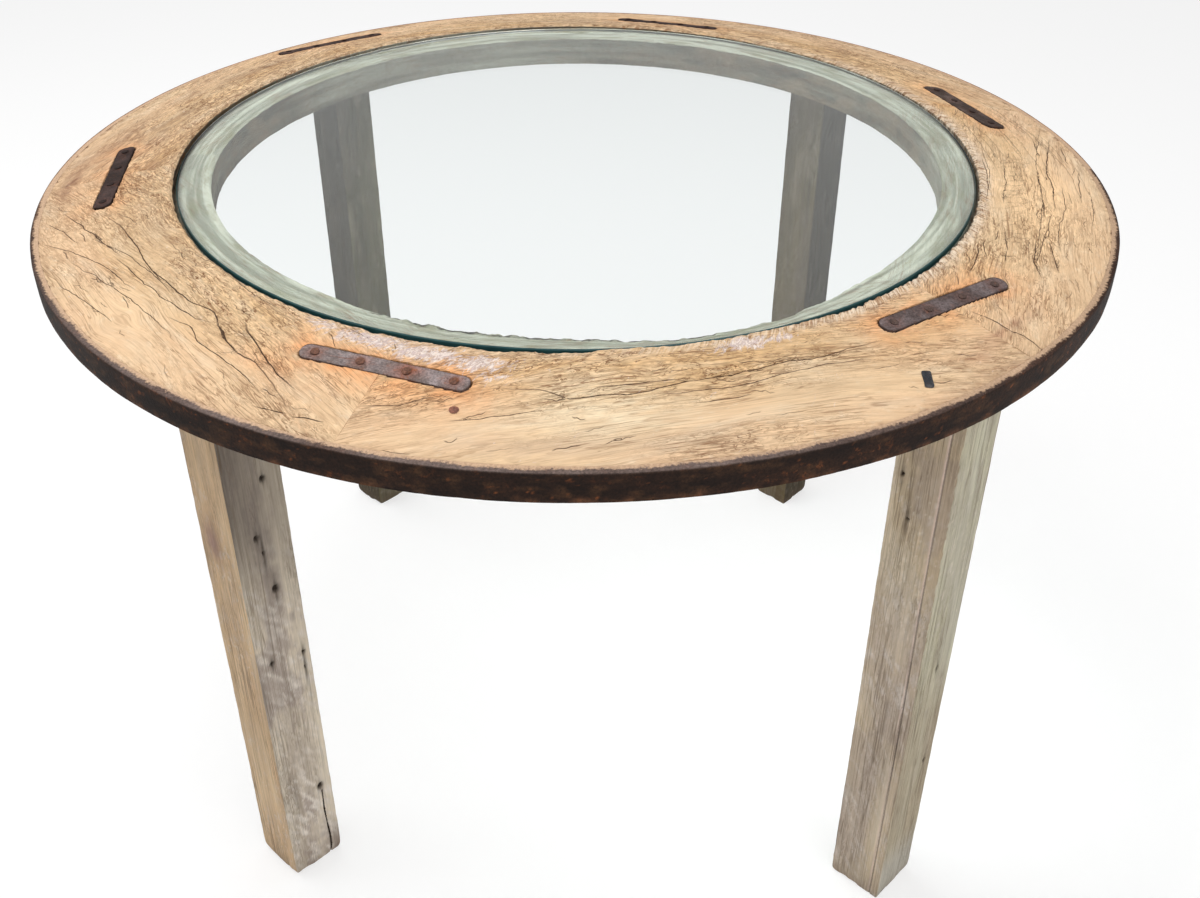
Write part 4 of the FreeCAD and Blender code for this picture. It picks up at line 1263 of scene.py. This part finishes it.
def nail_head(seed, radius=0.0042, height=0.0011, shank=0.0017, depth=0.010):
    """A low hammered nail head with the start of its shank, standing at the origin."""
    around = 28
    dome = (0.15, 0.4, 0.65, 0.85, 1.0)
    profile = [(radius * share, height * math.sqrt(1 - (share * 0.92) ** 2)) for share in dome]
    profile += [(radius * 0.98, 0.0), (radius * 0.9, -0.0006), (shank, -0.0006), (shank, -depth)]
    points = turned(profile, around)
    change = lumps(points + seed * 0.31, 0.004, 86, 2)
    top = points[:, 2] > 0
    points[:, :2] *= (1 + 0.10 * change * (np.hypot(points[:, 0], points[:, 1]) > shank * 1.2))[:, None]
    points[:, 2] += np.where(top, 0.0003 * (change - 1), 0)
    return points, solid_faces(len(profile), around)


def rim_directions(x, y):
    """Outward and out of the wood, at a place of the sloping face."""
    radius = math.hypot(x, y)
    outward = np.array((x / radius, y / radius, 0))
    return outward, unit(np.array((outward[0] * SLOPE, outward[1] * SLOPE, 1.0)))


RIM_NAIL_COLOURS = colour(158, 104, 84), colour(120, 82, 70)
RIM_NAIL_SINK = 0.0004


def make_rim_nail():
    """The single nail in the front felloe."""
    points, faces = nail_head(97, radius=0.0043, height=0.0010)
    low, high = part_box("rim_nail")
    x, y = (low.x + high.x) / 2, (low.y + high.y) / 2
    outward, out = rim_directions(x, y)
    side = np.cross(out, outward)
    axes = np.array((np.cross(side, out), side, out))
    place = np.array((x, y, slope_height(math.hypot(x, y)) - RIM_NAIL_SINK))
    noise = lumps(points, 0.003, 87)
    coat = Coat(RIM_NAIL_COLOURS[0], len(points)).over(RIM_NAIL_COLOURS[1], 0.5 + noise)
    new_piece(
        "rusty_rim_nail", points @ axes + place, faces, TABLE, [NAIL_IRON], ["rim_nail"],
        iron_layers(coat.tint, points, 0.2, 0.3),
    )


# The spike's flat head: half its length and width, its corners, thickness, point spacing and colours
SPIKE_PLATE = (0.0105, 0.0042, 0.0016, 0.003, 0.0006)
SPIKE_COLOURS = colour(56, 58, 62), colour(96, 92, 92)
SPIKE_RISE = 0.0004


def make_spike():
    """The flat head of a forged spike near the front edge, dark and battered."""
    head = node_points("forged_spike")
    top = head[head[:, 2] > head[:, 2].max() - 0.006]
    middle = (top.max(0) + top.min(0)) / 2
    _, out = rim_directions(middle[0], middle[1])
    lengthwise = np.array((0.0, -1.0, 0.0))
    along = unit(lengthwise - out * (lengthwise @ out))
    axes = np.array((along, np.cross(out, along), out))
    local, rings, around, _ = dished_plate(*SPIKE_PLATE)
    change = lumps(local, 0.005, 88)
    local[:, :2] *= (1 + 0.12 * change)[:, None]
    local[:, 2] -= np.where(local[:, 2] > -TOP_SLACK, 0.0004 * (1 + change), 0)
    place = np.array((middle[0], middle[1], slope_height(math.hypot(middle[0], middle[1])) + SPIKE_RISE))
    coat = Coat(SPIKE_COLOURS[0], len(local)).over(SPIKE_COLOURS[1], 0.2 + 0.9 * change)
    new_piece(
        "battered_spike", local @ axes + place, solid_faces(rings, around), TABLE, [NAIL_IRON],
        ["forged_spike"], iron_layers(coat.tint, local, 0.4, 0.15),
    )


# Radii of the pane's rings inside its edge, its arris and how finely it is divided round
PANE_RADII = (0.004, 0.15, 0.30, 0.40)
PANE_ARRIS, PANE_AROUND = 0.001, 720


def make_pane():
    """The loose pane, its edge ground flat with a small arris."""
    half, middle = (GLASS_TOP - GLASS_BOTTOM) / 2, (GLASS_TOP + GLASS_BOTTOM) / 2
    radii = (*PANE_RADII, GLASS_RADIUS - PANE_ARRIS)
    profile = [(radius, half) for radius in radii]
    profile += [(GLASS_RADIUS, half - PANE_ARRIS), (GLASS_RADIUS, 0.0), (GLASS_RADIUS, -half + PANE_ARRIS)]
    profile += [(radius, -half) for radius in radii[::-1]]
    edge_first, edge_last = len(radii) - 1, len(radii) + 3
    ring = np.repeat(np.arange(len(profile) - 1), PANE_AROUND)
    slots = np.append((ring >= edge_first) & (ring < edge_last), (False, False))
    new_piece(
        "polished_pane", turned(profile, PANE_AROUND, middle), solid_faces(len(profile), PANE_AROUND), PANE,
        [GLASS, GLASS_EDGE], ["glass_top"], smooth=False, slots=slots,
    )


# Faces of a post, in its own axes: out from the wheel's middle, anticlockwise round it, and their opposites
OUT, ROUND, IN, BACK = range(4)
POST_SPACING = 0.0022
POST_ROUNDING = 0.0028
# Two tints of each face of each post. The back posts' faces that look to the front, ROUND and IN on the left
# post and IN and BACK on the right one, are darkened as painted shade under the table.
LEG_COLOURS_AND_SHADE = {
    "leg_front_left": {
        OUT: ((218, 190, 152), (202, 170, 134)),
        ROUND: ((226, 212, 190), (184, 170, 154)),
        IN: ((160, 140, 114), (136, 120, 98)),
        BACK: ((172, 150, 122), (148, 130, 106)),
    },
    "leg_front_right": {
        OUT: ((206, 202, 178), (186, 178, 152)),
        ROUND: ((172, 152, 126), (150, 132, 108)),
        IN: ((160, 140, 116), (138, 122, 102)),
        BACK: ((208, 188, 158), (186, 168, 142)),
    },
    "leg_back_left": {
        OUT: ((176, 156, 128), (156, 138, 112)),
        ROUND: ((74, 67, 51), (57, 50, 38)),
        IN: ((94, 90, 65), (72, 68, 47)),
        BACK: ((164, 146, 120), (144, 128, 104)),
    },
    "leg_back_right": {
        OUT: ((176, 156, 128), (156, 138, 112)),
        ROUND: ((160, 142, 116), (140, 124, 102)),
        IN: ((106, 93, 64), (83, 70, 46)),
        BACK: ((68, 61, 45), (53, 45, 33)),
    },
}
# Faces with smears of grey and of old lime, and how strong they are
SMEARED = {
    "leg_front_left": {ROUND: 0.60, OUT: 0.12},
    "leg_front_right": {BACK: 0.35, OUT: 0.25},
    "leg_back_left": {IN: 0.15},
    "leg_back_right": {IN: 0.15},
}
# Knots and nail holes that the photograph shows: leg, face, pixel, radius and how far the stain runs along
KNOTS = (
    ("leg_front_left", ROUND, (263, 479), 0.0035, 0.006),
    ("leg_front_left", ROUND, (257, 539), 0.0032, 0.010),
    ("leg_front_left", ROUND, (264, 553), 0.0022, 0.018),
    ("leg_front_left", ROUND, (276, 589), 0.0045, 0.012),
    ("leg_front_left", ROUND, (304, 652), 0.0026, 0.008),
    ("leg_front_left", ROUND, (273, 664), 0.0028, 0.007),
    ("leg_front_left", ROUND, (306, 666), 0.0018, 0.016),
    ("leg_front_left", ROUND, (321, 786), 0.0042, 0.006),
    ("leg_front_right", BACK, (902, 474), 0.0026, 0.010),
    ("leg_front_right", BACK, (907, 519), 0.0018, 0.010),
    ("leg_front_right", OUT, (938, 668), 0.0026, 0.008),
    ("leg_front_right", OUT, (925, 760), 0.0028, 0.016),
    ("leg_back_left", IN, (352, 284), 0.0040, 0.008),
)


def post_frame(node):
    """Middle of a post at the floor, its outward and sideways directions and half its width."""
    low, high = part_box(node)
    middle = np.array(((low.x + high.x) / 2, (low.y + high.y) / 2))
    outward = np.sign(middle) / math.sqrt(2)
    sideways = np.array((-outward[1], outward[0]))
    return middle, outward, sideways, ((node_points(node)[:, :2] - middle) @ outward).max()


def on_post(node, face, pixel):
    """Across and height on a post's face, where a pixel of the photograph shows it."""
    middle, outward, sideways, half = post_frame(node)
    normal = (outward, sideways, -outward, -sideways)[face]
    across = (sideways, -outward, -sideways, outward)[face]
    place, ray = np.array(CAMERA_PLACE), np.array(pixel_ray(pixel))
    distance = (half - (place[:2] - middle) @ normal) / (ray[:2] @ normal)
    point = place + ray * distance
    return (point[:2] - middle) @ across, point[2]


# Colours of smears, chips, stains and shades of the posts
SMEAR_GREY, SMEAR_LIME, CHIP_PALE, SCUFF_PALE = (
    colour(150, 136, 132), colour(214, 202, 182), colour(222, 210, 192), colour(206, 196, 188),
)
STROKE_PALE, KNOT_STAIN, FOOT_STAIN = colour(222, 212, 200), colour(84, 74, 64), colour(112, 92, 74)
STRIP_BROWN, KERF_BROWN, KERF_PALE = colour(148, 120, 90), colour(160, 132, 104), colour(230, 206, 192)
LOW_BROWN, LOW_VIOLET, FOOT_PALE = colour(172, 154, 130), colour(188, 172, 160), colour(196, 194, 186)
SMUDGE_PINK, SHADED_GREY, BRUISE_BROWN = colour(150, 118, 112), colour(124, 114, 104), colour(92, 72, 62)
# Pixels of the photograph: a smudge on the left post, where its shade ends and is full, and its split
SMUDGE_PIXEL, SMUDGE_SIZES = (211, 541), (0.014, 0.026)
SHADE_PIXELS = (285, 640), (262, 510)
SPLIT_PIXEL, SPLIT_TOP_PIXEL = (328, 820), (322, 790)
# Pixels between which the right post turns brown towards its foot
BROWN_PIXELS = (940, 640), (940, 730)
# How far the right post's saw kerf lies from its edge, and the share of a knot's radius that is hole
KERF_FROM_EDGE = 0.0125
KNOT_SHARE = 0.8


class Post:
    """One post's points, before and after wear, and their colours."""

    def __init__(self, node):
        self.node = node
        self.middle, self.outward, self.sideways, half = post_frame(node)
        self.half, self.seed = half, sorted(LEG_COLOURS_AND_SHADE).index(node) * 10 + 100
        per_side = round(2 * half / POST_SPACING)
        self.rings, self.around = round(UNDERSIDE / POST_SPACING) + 1, 4 * per_side
        share = (np.arange(per_side) + 0.5) / per_side * 2 - 1
        self.normals = np.array(((1, 0), (0, 1), (-1, 0), (0, -1)))
        acrosses = np.array(((0, 1), (-1, 0), (0, -1), (1, 0)))
        ring = [self.normals[face] * half + share[:, None] * acrosses[face] * half for face in range(4)]
        flat = np.tile(np.vstack(ring), (self.rings, 1))
        self.face = np.tile(np.repeat(np.arange(4), per_side), self.rings)
        self.across = np.tile(np.tile(share * half, 4), self.rings)
        self.height = np.repeat(np.linspace(0, UNDERSIDE, self.rings), self.around)
        self.count = len(self.height)
        self.seeded = np.column_stack((flat, self.height)) + self.seed
        self.flat = self.rounded(flat)
        self.grain = np.column_stack((self.height, self.flat)) + self.seed
        self.mottle = self.grain_lumps((0.16, 0.022, 0.022), 4)
        fine = self.grain_lumps((0.010, 0.004, 0.004), 12)
        self.smear = self.grain_lumps((0.10, 0.030, 0.030), 5) + 0.25 * fine
        self.offset, self.open = np.full(self.count, FAR_OFF), np.zeros(self.count)
        check = peaks(self.grain_lumps((0.16, 0.007, 0.007), 3), 0.42) * 2.5
        wave = 0.0010 * (1 + self.own_lumps((0.06, 0.06, 0.35), 1, 2))
        wave = wave + 0.0003 * self.grain_lumps((0.09, 0.004, 0.004), 2)
        self.depth = np.clip(wave + 0.0012 * check, 0, None)
        self.dark = np.clip(check * 0.7, 0, 0.6)
        first, second = (np.array([colour(*LEG_COLOURS_AND_SHADE[node][face][i]) for face in range(4)]) for i in (0, 1))
        self.coat = Coat(first[self.face], self.count).over(second[self.face], 0.5 + 1.1 * self.mottle)

    def own_lumps(self, sizes, seed, layers=3):
        return lumps(self.seeded, sizes, self.seed + seed, layers)

    def grain_lumps(self, sizes, seed):
        return lumps(self.grain, sizes, self.seed + seed)

    def rounded(self, flat):
        """The section's points, drawn in at its worn arrises."""
        rounding = POST_ROUNDING * (1 + 0.55 * self.own_lumps((0.05, 0.05, 0.02), 0))
        inner = (self.half - rounding)[:, None]
        held = np.clip(flat, -inner, inner)
        past = flat - held
        length = np.linalg.norm(past, axis=1)
        reach = np.minimum(rounding, np.maximum(length, rounding * (length > 0)))
        return held + past / np.maximum(length, TINY)[:, None] * reach[:, None]

    def weather(self):
        """Smears, chips, scuffs and slanting strokes of old lime."""
        front = "front" in self.node
        share = np.zeros(self.count)
        for face, strength in SMEARED[self.node].items():
            share = np.where(self.face == face, strength, share)
        self.coat.over(SMEAR_GREY, share * smooth_step(self.smear, 0.02, 0.30))
        self.coat.over(SMEAR_LIME, share * smooth_step(-self.smear, 0.02, 0.34))
        chip = smooth_step(self.grain_lumps((0.008, 0.003, 0.003), 6), 0.30, 0.45)
        chipped = smooth_step(self.own_lumps((0.06,) * 3, 11), -0.25, 0.2)
        self.coat.over(CHIP_PALE, (0.5 if front else 0.1) * chip * chipped)
        scuff = np.clip(self.own_lumps((0.0045, 0.0045, 0.009), 14), 0, 1) * (0.4 + chipped)
        self.coat.over(SCUFF_PALE, (0.45 if front else 0.1) * scuff)
        across, height = self.across, self.height
        slanted = ((across + 0.6 * height) / 0.0046, (height - 0.6 * across) / 0.018, self.face * 3.0)
        strokes = peaks(lumps(np.column_stack(slanted), 1, self.seed + 15), 0.05)
        strokes = strokes * (share > 0.3) * (0.5 + chipped)
        self.coat.over(STROKE_PALE, 1.8 * strokes * smooth_step(height, 0.56, 0.36))

    def knot(self, face, pixel, radius, run):
        """A knot or nail hole, with its stain and the slit that runs through it."""
        place, level = on_post(self.node, face, pixel)
        on_face = self.face == face
        beside = self.across - place + 0.0012 * self.own_lumps((0.006,) * 3, 7)
        above, radius = self.height - level, KNOT_SHARE * radius
        spot = np.exp(-(((beside / radius) ** 2 + (above / (radius * 1.4)) ** 2) ** 1.6)) * on_face
        frays = 0.55 + 0.9 * self.grain_lumps((0.012, 0.0022, 0.0022), 13)
        stain = np.exp(-((beside / (radius * 1.3)) ** 2) - (above / (run * 1.5)) ** 2) * on_face
        slit = np.exp(-((beside / 0.0011) ** 2) - (above / (run * 1.3)) ** 2) * on_face
        self.depth += 0.003 * np.clip(spot * 1.4 - 0.2, 0, 1)
        self.dark = np.maximum(np.maximum(self.dark, np.clip(spot * 1.6, 0, 1)), 0.75 * slit)
        self.coat.over(KNOT_STAIN, 0.75 * (stain * np.clip(frays, 0, 1)))

    def front_right_marks(self):
        """The right post's saw kerf, brown strip, and its colours towards the foot."""
        half, across, height = self.half, self.across, self.height
        on_back, on_out = self.face == BACK, self.face == OUT
        kerf = half - KERF_FROM_EDGE + 0.0008 * np.sin(height * 9)
        beside = np.where(on_back, across - kerf, 1.0)
        self.depth += 0.0012 * np.exp(-((beside / 0.0011) ** 2))
        self.coat.over(KERF_BROWN, 0.12 * on_back * smooth_step(across, kerf, kerf + 0.002))
        self.coat.over(KERF_PALE, 0.9 * np.exp(-(((beside + 0.0014) / 0.0012) ** 2)))
        self.slit_at(on_back, beside, 0.0009, 0.5)
        strip = np.where(on_out, across + half, 1.0) - 0.0016
        strip = strip - 0.0040 * self.own_lumps((0.02, 0.02, 0.008), 8)
        self.coat.over(STRIP_BROWN, np.where(on_out, smooth_step(-strip, 0.0, 0.0014), 0) * 0.75)
        top_level, low_level = (on_post(self.node, OUT, pixel)[1] for pixel in BROWN_PIXELS)
        brown = smooth_step(height, top_level, low_level) * on_out * (0.8 + 0.6 * self.mottle)
        self.coat.over(LOW_BROWN, 0.75 * brown)
        violet = smooth_step(height, 0.52, 0.36) * on_back * (0.6 + 0.9 * self.mottle)
        self.coat.over(LOW_VIOLET, 0.6 * violet)
        self.coat.over(FOOT_PALE, 0.6 * on_out * smooth_step(height, 0.10, 0.03))

    def front_left_marks(self):
        """The left post's smudge, shaded upper part, bruised corner and split foot."""
        half, across, height = self.half, self.across, self.height
        on_out, on_round = self.face == OUT, self.face == ROUND
        place, level = on_post(self.node, OUT, SMUDGE_PIXEL)
        smudge = np.hypot((across - place) / SMUDGE_SIZES[0], (height - level) / SMUDGE_SIZES[1])
        self.coat.over(SMUDGE_PINK, on_out * np.exp(-(smudge**2)) * (0.75 + 0.8 * self.smear))
        light_level, dark_level = (on_post(self.node, ROUND, pixel)[1] for pixel in SHADE_PIXELS)
        shaded = smooth_step(height + 0.05 * self.smear, light_level, dark_level) * on_round
        self.coat.over(SHADED_GREY, shaded * (0.72 - 0.25 * across / half))
        bruise = smooth_step(across, half * 0.45, half) * np.exp(-height / 0.035) * on_round
        self.coat.over(BRUISE_BROWN, 0.8 * bruise)
        place, _ = on_post(self.node, ROUND, SPLIT_PIXEL)
        _, level = on_post(self.node, ROUND, SPLIT_TOP_PIXEL)
        beside = np.where(on_round, across - place - 0.001 * np.sin(height * 60), 1.0)
        self.depth += 0.003 * (np.exp(-((beside / 0.0010) ** 2)) * (height < level))
        self.slit_at(on_round, beside, 0.0010, np.where(height < level, 1.0, self.open))

    def slit_at(self, shown, beside, half_width, openness):
        """A thin dark line on a face, by the distance beside it."""
        self.offset = np.where(shown, beside / half_width, self.offset)
        self.open = np.where(shown & (np.abs(beside) < 0.005), openness, self.open)

    def worn_points(self):
        """The points in the frame, with worn faces and a chipped foot."""
        chips = np.clip(self.own_lumps((0.016,) * 3, 9), 0, 1)
        worn_foot = np.exp(-self.height / 0.0045) * (0.0022 + 0.004 * chips) / self.half
        flat = (self.flat - self.normals[self.face] * self.depth[:, None]) * (1 - worn_foot)[:, None]
        plan = self.middle + flat[:, :1] * self.outward + flat[:, 1:] * self.sideways
        return np.column_stack((plan, self.height))


def make_post(node):
    """A square reclaimed post: worn arrises, checks, nail holes and stains."""
    post = Post(node)
    post.weather()
    for leg, *knot in KNOTS:
        if leg == node:
            post.knot(*knot)
    if node == "leg_front_right":
        post.front_right_marks()
    if node == "leg_front_left":
        post.front_left_marks()
    post.coat.over(FOOT_STAIN, 0.35 * np.exp(-post.height / 0.02))
    layers = {
        "tint": post.coat.tint,
        "grain": post.grain,
        "dark": post.dark,
        "rough": np.clip(0.24 + 0.5 * post.mottle, 0.08, 0.6),
        "offset": np.clip(post.offset, -FAR_OFF, FAR_OFF),
        "open": post.open,
    }
    faces = [tube_faces(post.rings, post.around), *cap_faces(post.rings, post.around)]
    name = f"reclaimed_{node}"
    new_piece(name, post.worn_points(), faces, TABLE, [POST_WOOD], [node], layers)


DOWEL_LUMPS = (90, 90, 420)
DOWEL_BROWN, DOWEL_PALE = shader_colour(176, 138, 96), shader_colour(206, 170, 124)


def dress_dowels():
    """The hidden dowels keep their CAD shape and get pale turned wood."""
    nodes = new_material("dowel_wood")
    place = nodes.add("ShaderNodeTexCoord").outputs["Object"]
    streak = nodes.noise(place, DOWEL_LUMPS, 3.0, 0.6)
    tone = nodes.mixed(nodes.ranged(streak, 0.3, 0.7), DOWEL_BROWN, DOWEL_PALE)
    inputs = {"Base Color": tone, "Roughness": 0.7, "Normal": nodes.bumped(streak, 0.0003, 0.5)}
    material = nodes.finished(nodes.principled(inputs))
    for number in FELLOES:
        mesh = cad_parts[f"felloe_dowel_{number}"].data
        mesh.materials.clear()
        mesh.materials.append(material)


# Stage: a pale floor, a white surround and soft lamps
FLOOR_SIZE = 400.0
FLOOR_GREY = (0.85, 0.85, 0.85, 1)
FLOOR_SHARE, FLOOR_GLOW = 0.5, 1.2
WHITE = (1, 1, 1, 1)
# Name, place, size and power of each lamp
LAMPS = (
    ("key_lamp", (-1.3, 0.4, 3.3), 2.4, 62),
    ("fill_lamp", (1.6, -2.4, 3.0), 3.0, 42),
)
LAMP_AIM = (0, 0, 0.6)
# How strongly the surround lights the table, and how strongly it shows in mirrors
WORLD_LIGHT, MIRRORED_LIGHT = 0.55, 0.30


def add_floor():
    """A pale floor, half of it glowing for rays that show it."""
    nodes = new_material("pale_floor")
    plain = nodes.add("ShaderNodeBsdfDiffuse", {"Color": FLOOR_GREY}).outputs[0]
    glow = nodes.add("ShaderNodeEmission", {"Color": WHITE, "Strength": FLOOR_GLOW}).outputs[0]
    path = nodes.add("ShaderNodeLightPath").outputs
    seen = nodes.most(path["Is Camera Ray"], path["Is Glossy Ray"], path["Is Transmission Ray"])
    material = nodes.finished(nodes.chosen(nodes.times(seen, FLOOR_SHARE), plain, glow))
    mesh = bpy.data.meshes.new("floor")
    half = FLOOR_SIZE / 2
    corners = [(-half, -half, 0), (half, -half, 0), (half, half, 0), (-half, half, 0)]
    mesh.from_pydata(corners, [], [(0, 1, 2, 3)])
    mesh.materials.append(material)
    floor = bpy.data.objects.new("floor", mesh)
    bpy.context.scene.collection.objects.link(floor)


def add_world():
    """A surround that looks white itself and gives softer light."""
    world = bpy.data.worlds.new("white_surround")
    nodes = Nodes(world)
    path = nodes.add("ShaderNodeLightPath").outputs
    seen = nodes.most(path["Is Camera Ray"], path["Is Transmission Ray"])
    light = nodes.ranged(path["Is Glossy Ray"], 0.0, 1.0, WORLD_LIGHT, MIRRORED_LIGHT)
    strength = nodes.ranged(seen, 0.0, 1.0, light, 1.0)
    background = nodes.add("ShaderNodeBackground", {"Color": WHITE, "Strength": strength}).outputs[0]
    nodes.add("ShaderNodeOutputWorld", {"Surface": background})
    bpy.context.scene.world = world


def add_lamps():
    for name, place, size, power in LAMPS:
        data = bpy.data.lights.new(name, "AREA")
        data.shape = "SQUARE"
        data.size = size
        data.energy = power
        lamp = bpy.data.objects.new(name, data)
        away = Vector(LAMP_AIM) - Vector(place)
        lamp.matrix_world = Matrix.Translation(place) @ away.to_track_quat("-Z", "Y").to_matrix().to_4x4()
        bpy.context.scene.collection.objects.link(lamp)


RIM_WOOD = wood_material("rim_wood", (26, 680), (80, 290), CRACK_BROWN, LINE_BROWN)
POST_WOOD = wood_material("post_wood", (16, 520), (28, 240), POST_CRACK, POST_LINE)
TYRE_IRON = iron_material("tyre_iron", 420, 0.7, 0.62)
CLEAT_IRON = iron_material("cleat_iron", 520, 0.7, 0.58)
NAIL_IRON = iron_material("nail_iron", 700, 0.6, 0.62)
GLASS, GLASS_EDGE = glass_material(), glass_edge_material()

bpy.context.scene.view_settings.view_transform = "Standard"
add_camera()
add_world()
add_floor()
add_lamps()
for number in FELLOES:
    make_felloe(number)
    make_cleat(number)
make_tyre()
make_rim_nail()
make_spike()
make_pane()
for node in LEG_COLOURS_AND_SHADE:
    make_post(node)
dress_dowels()
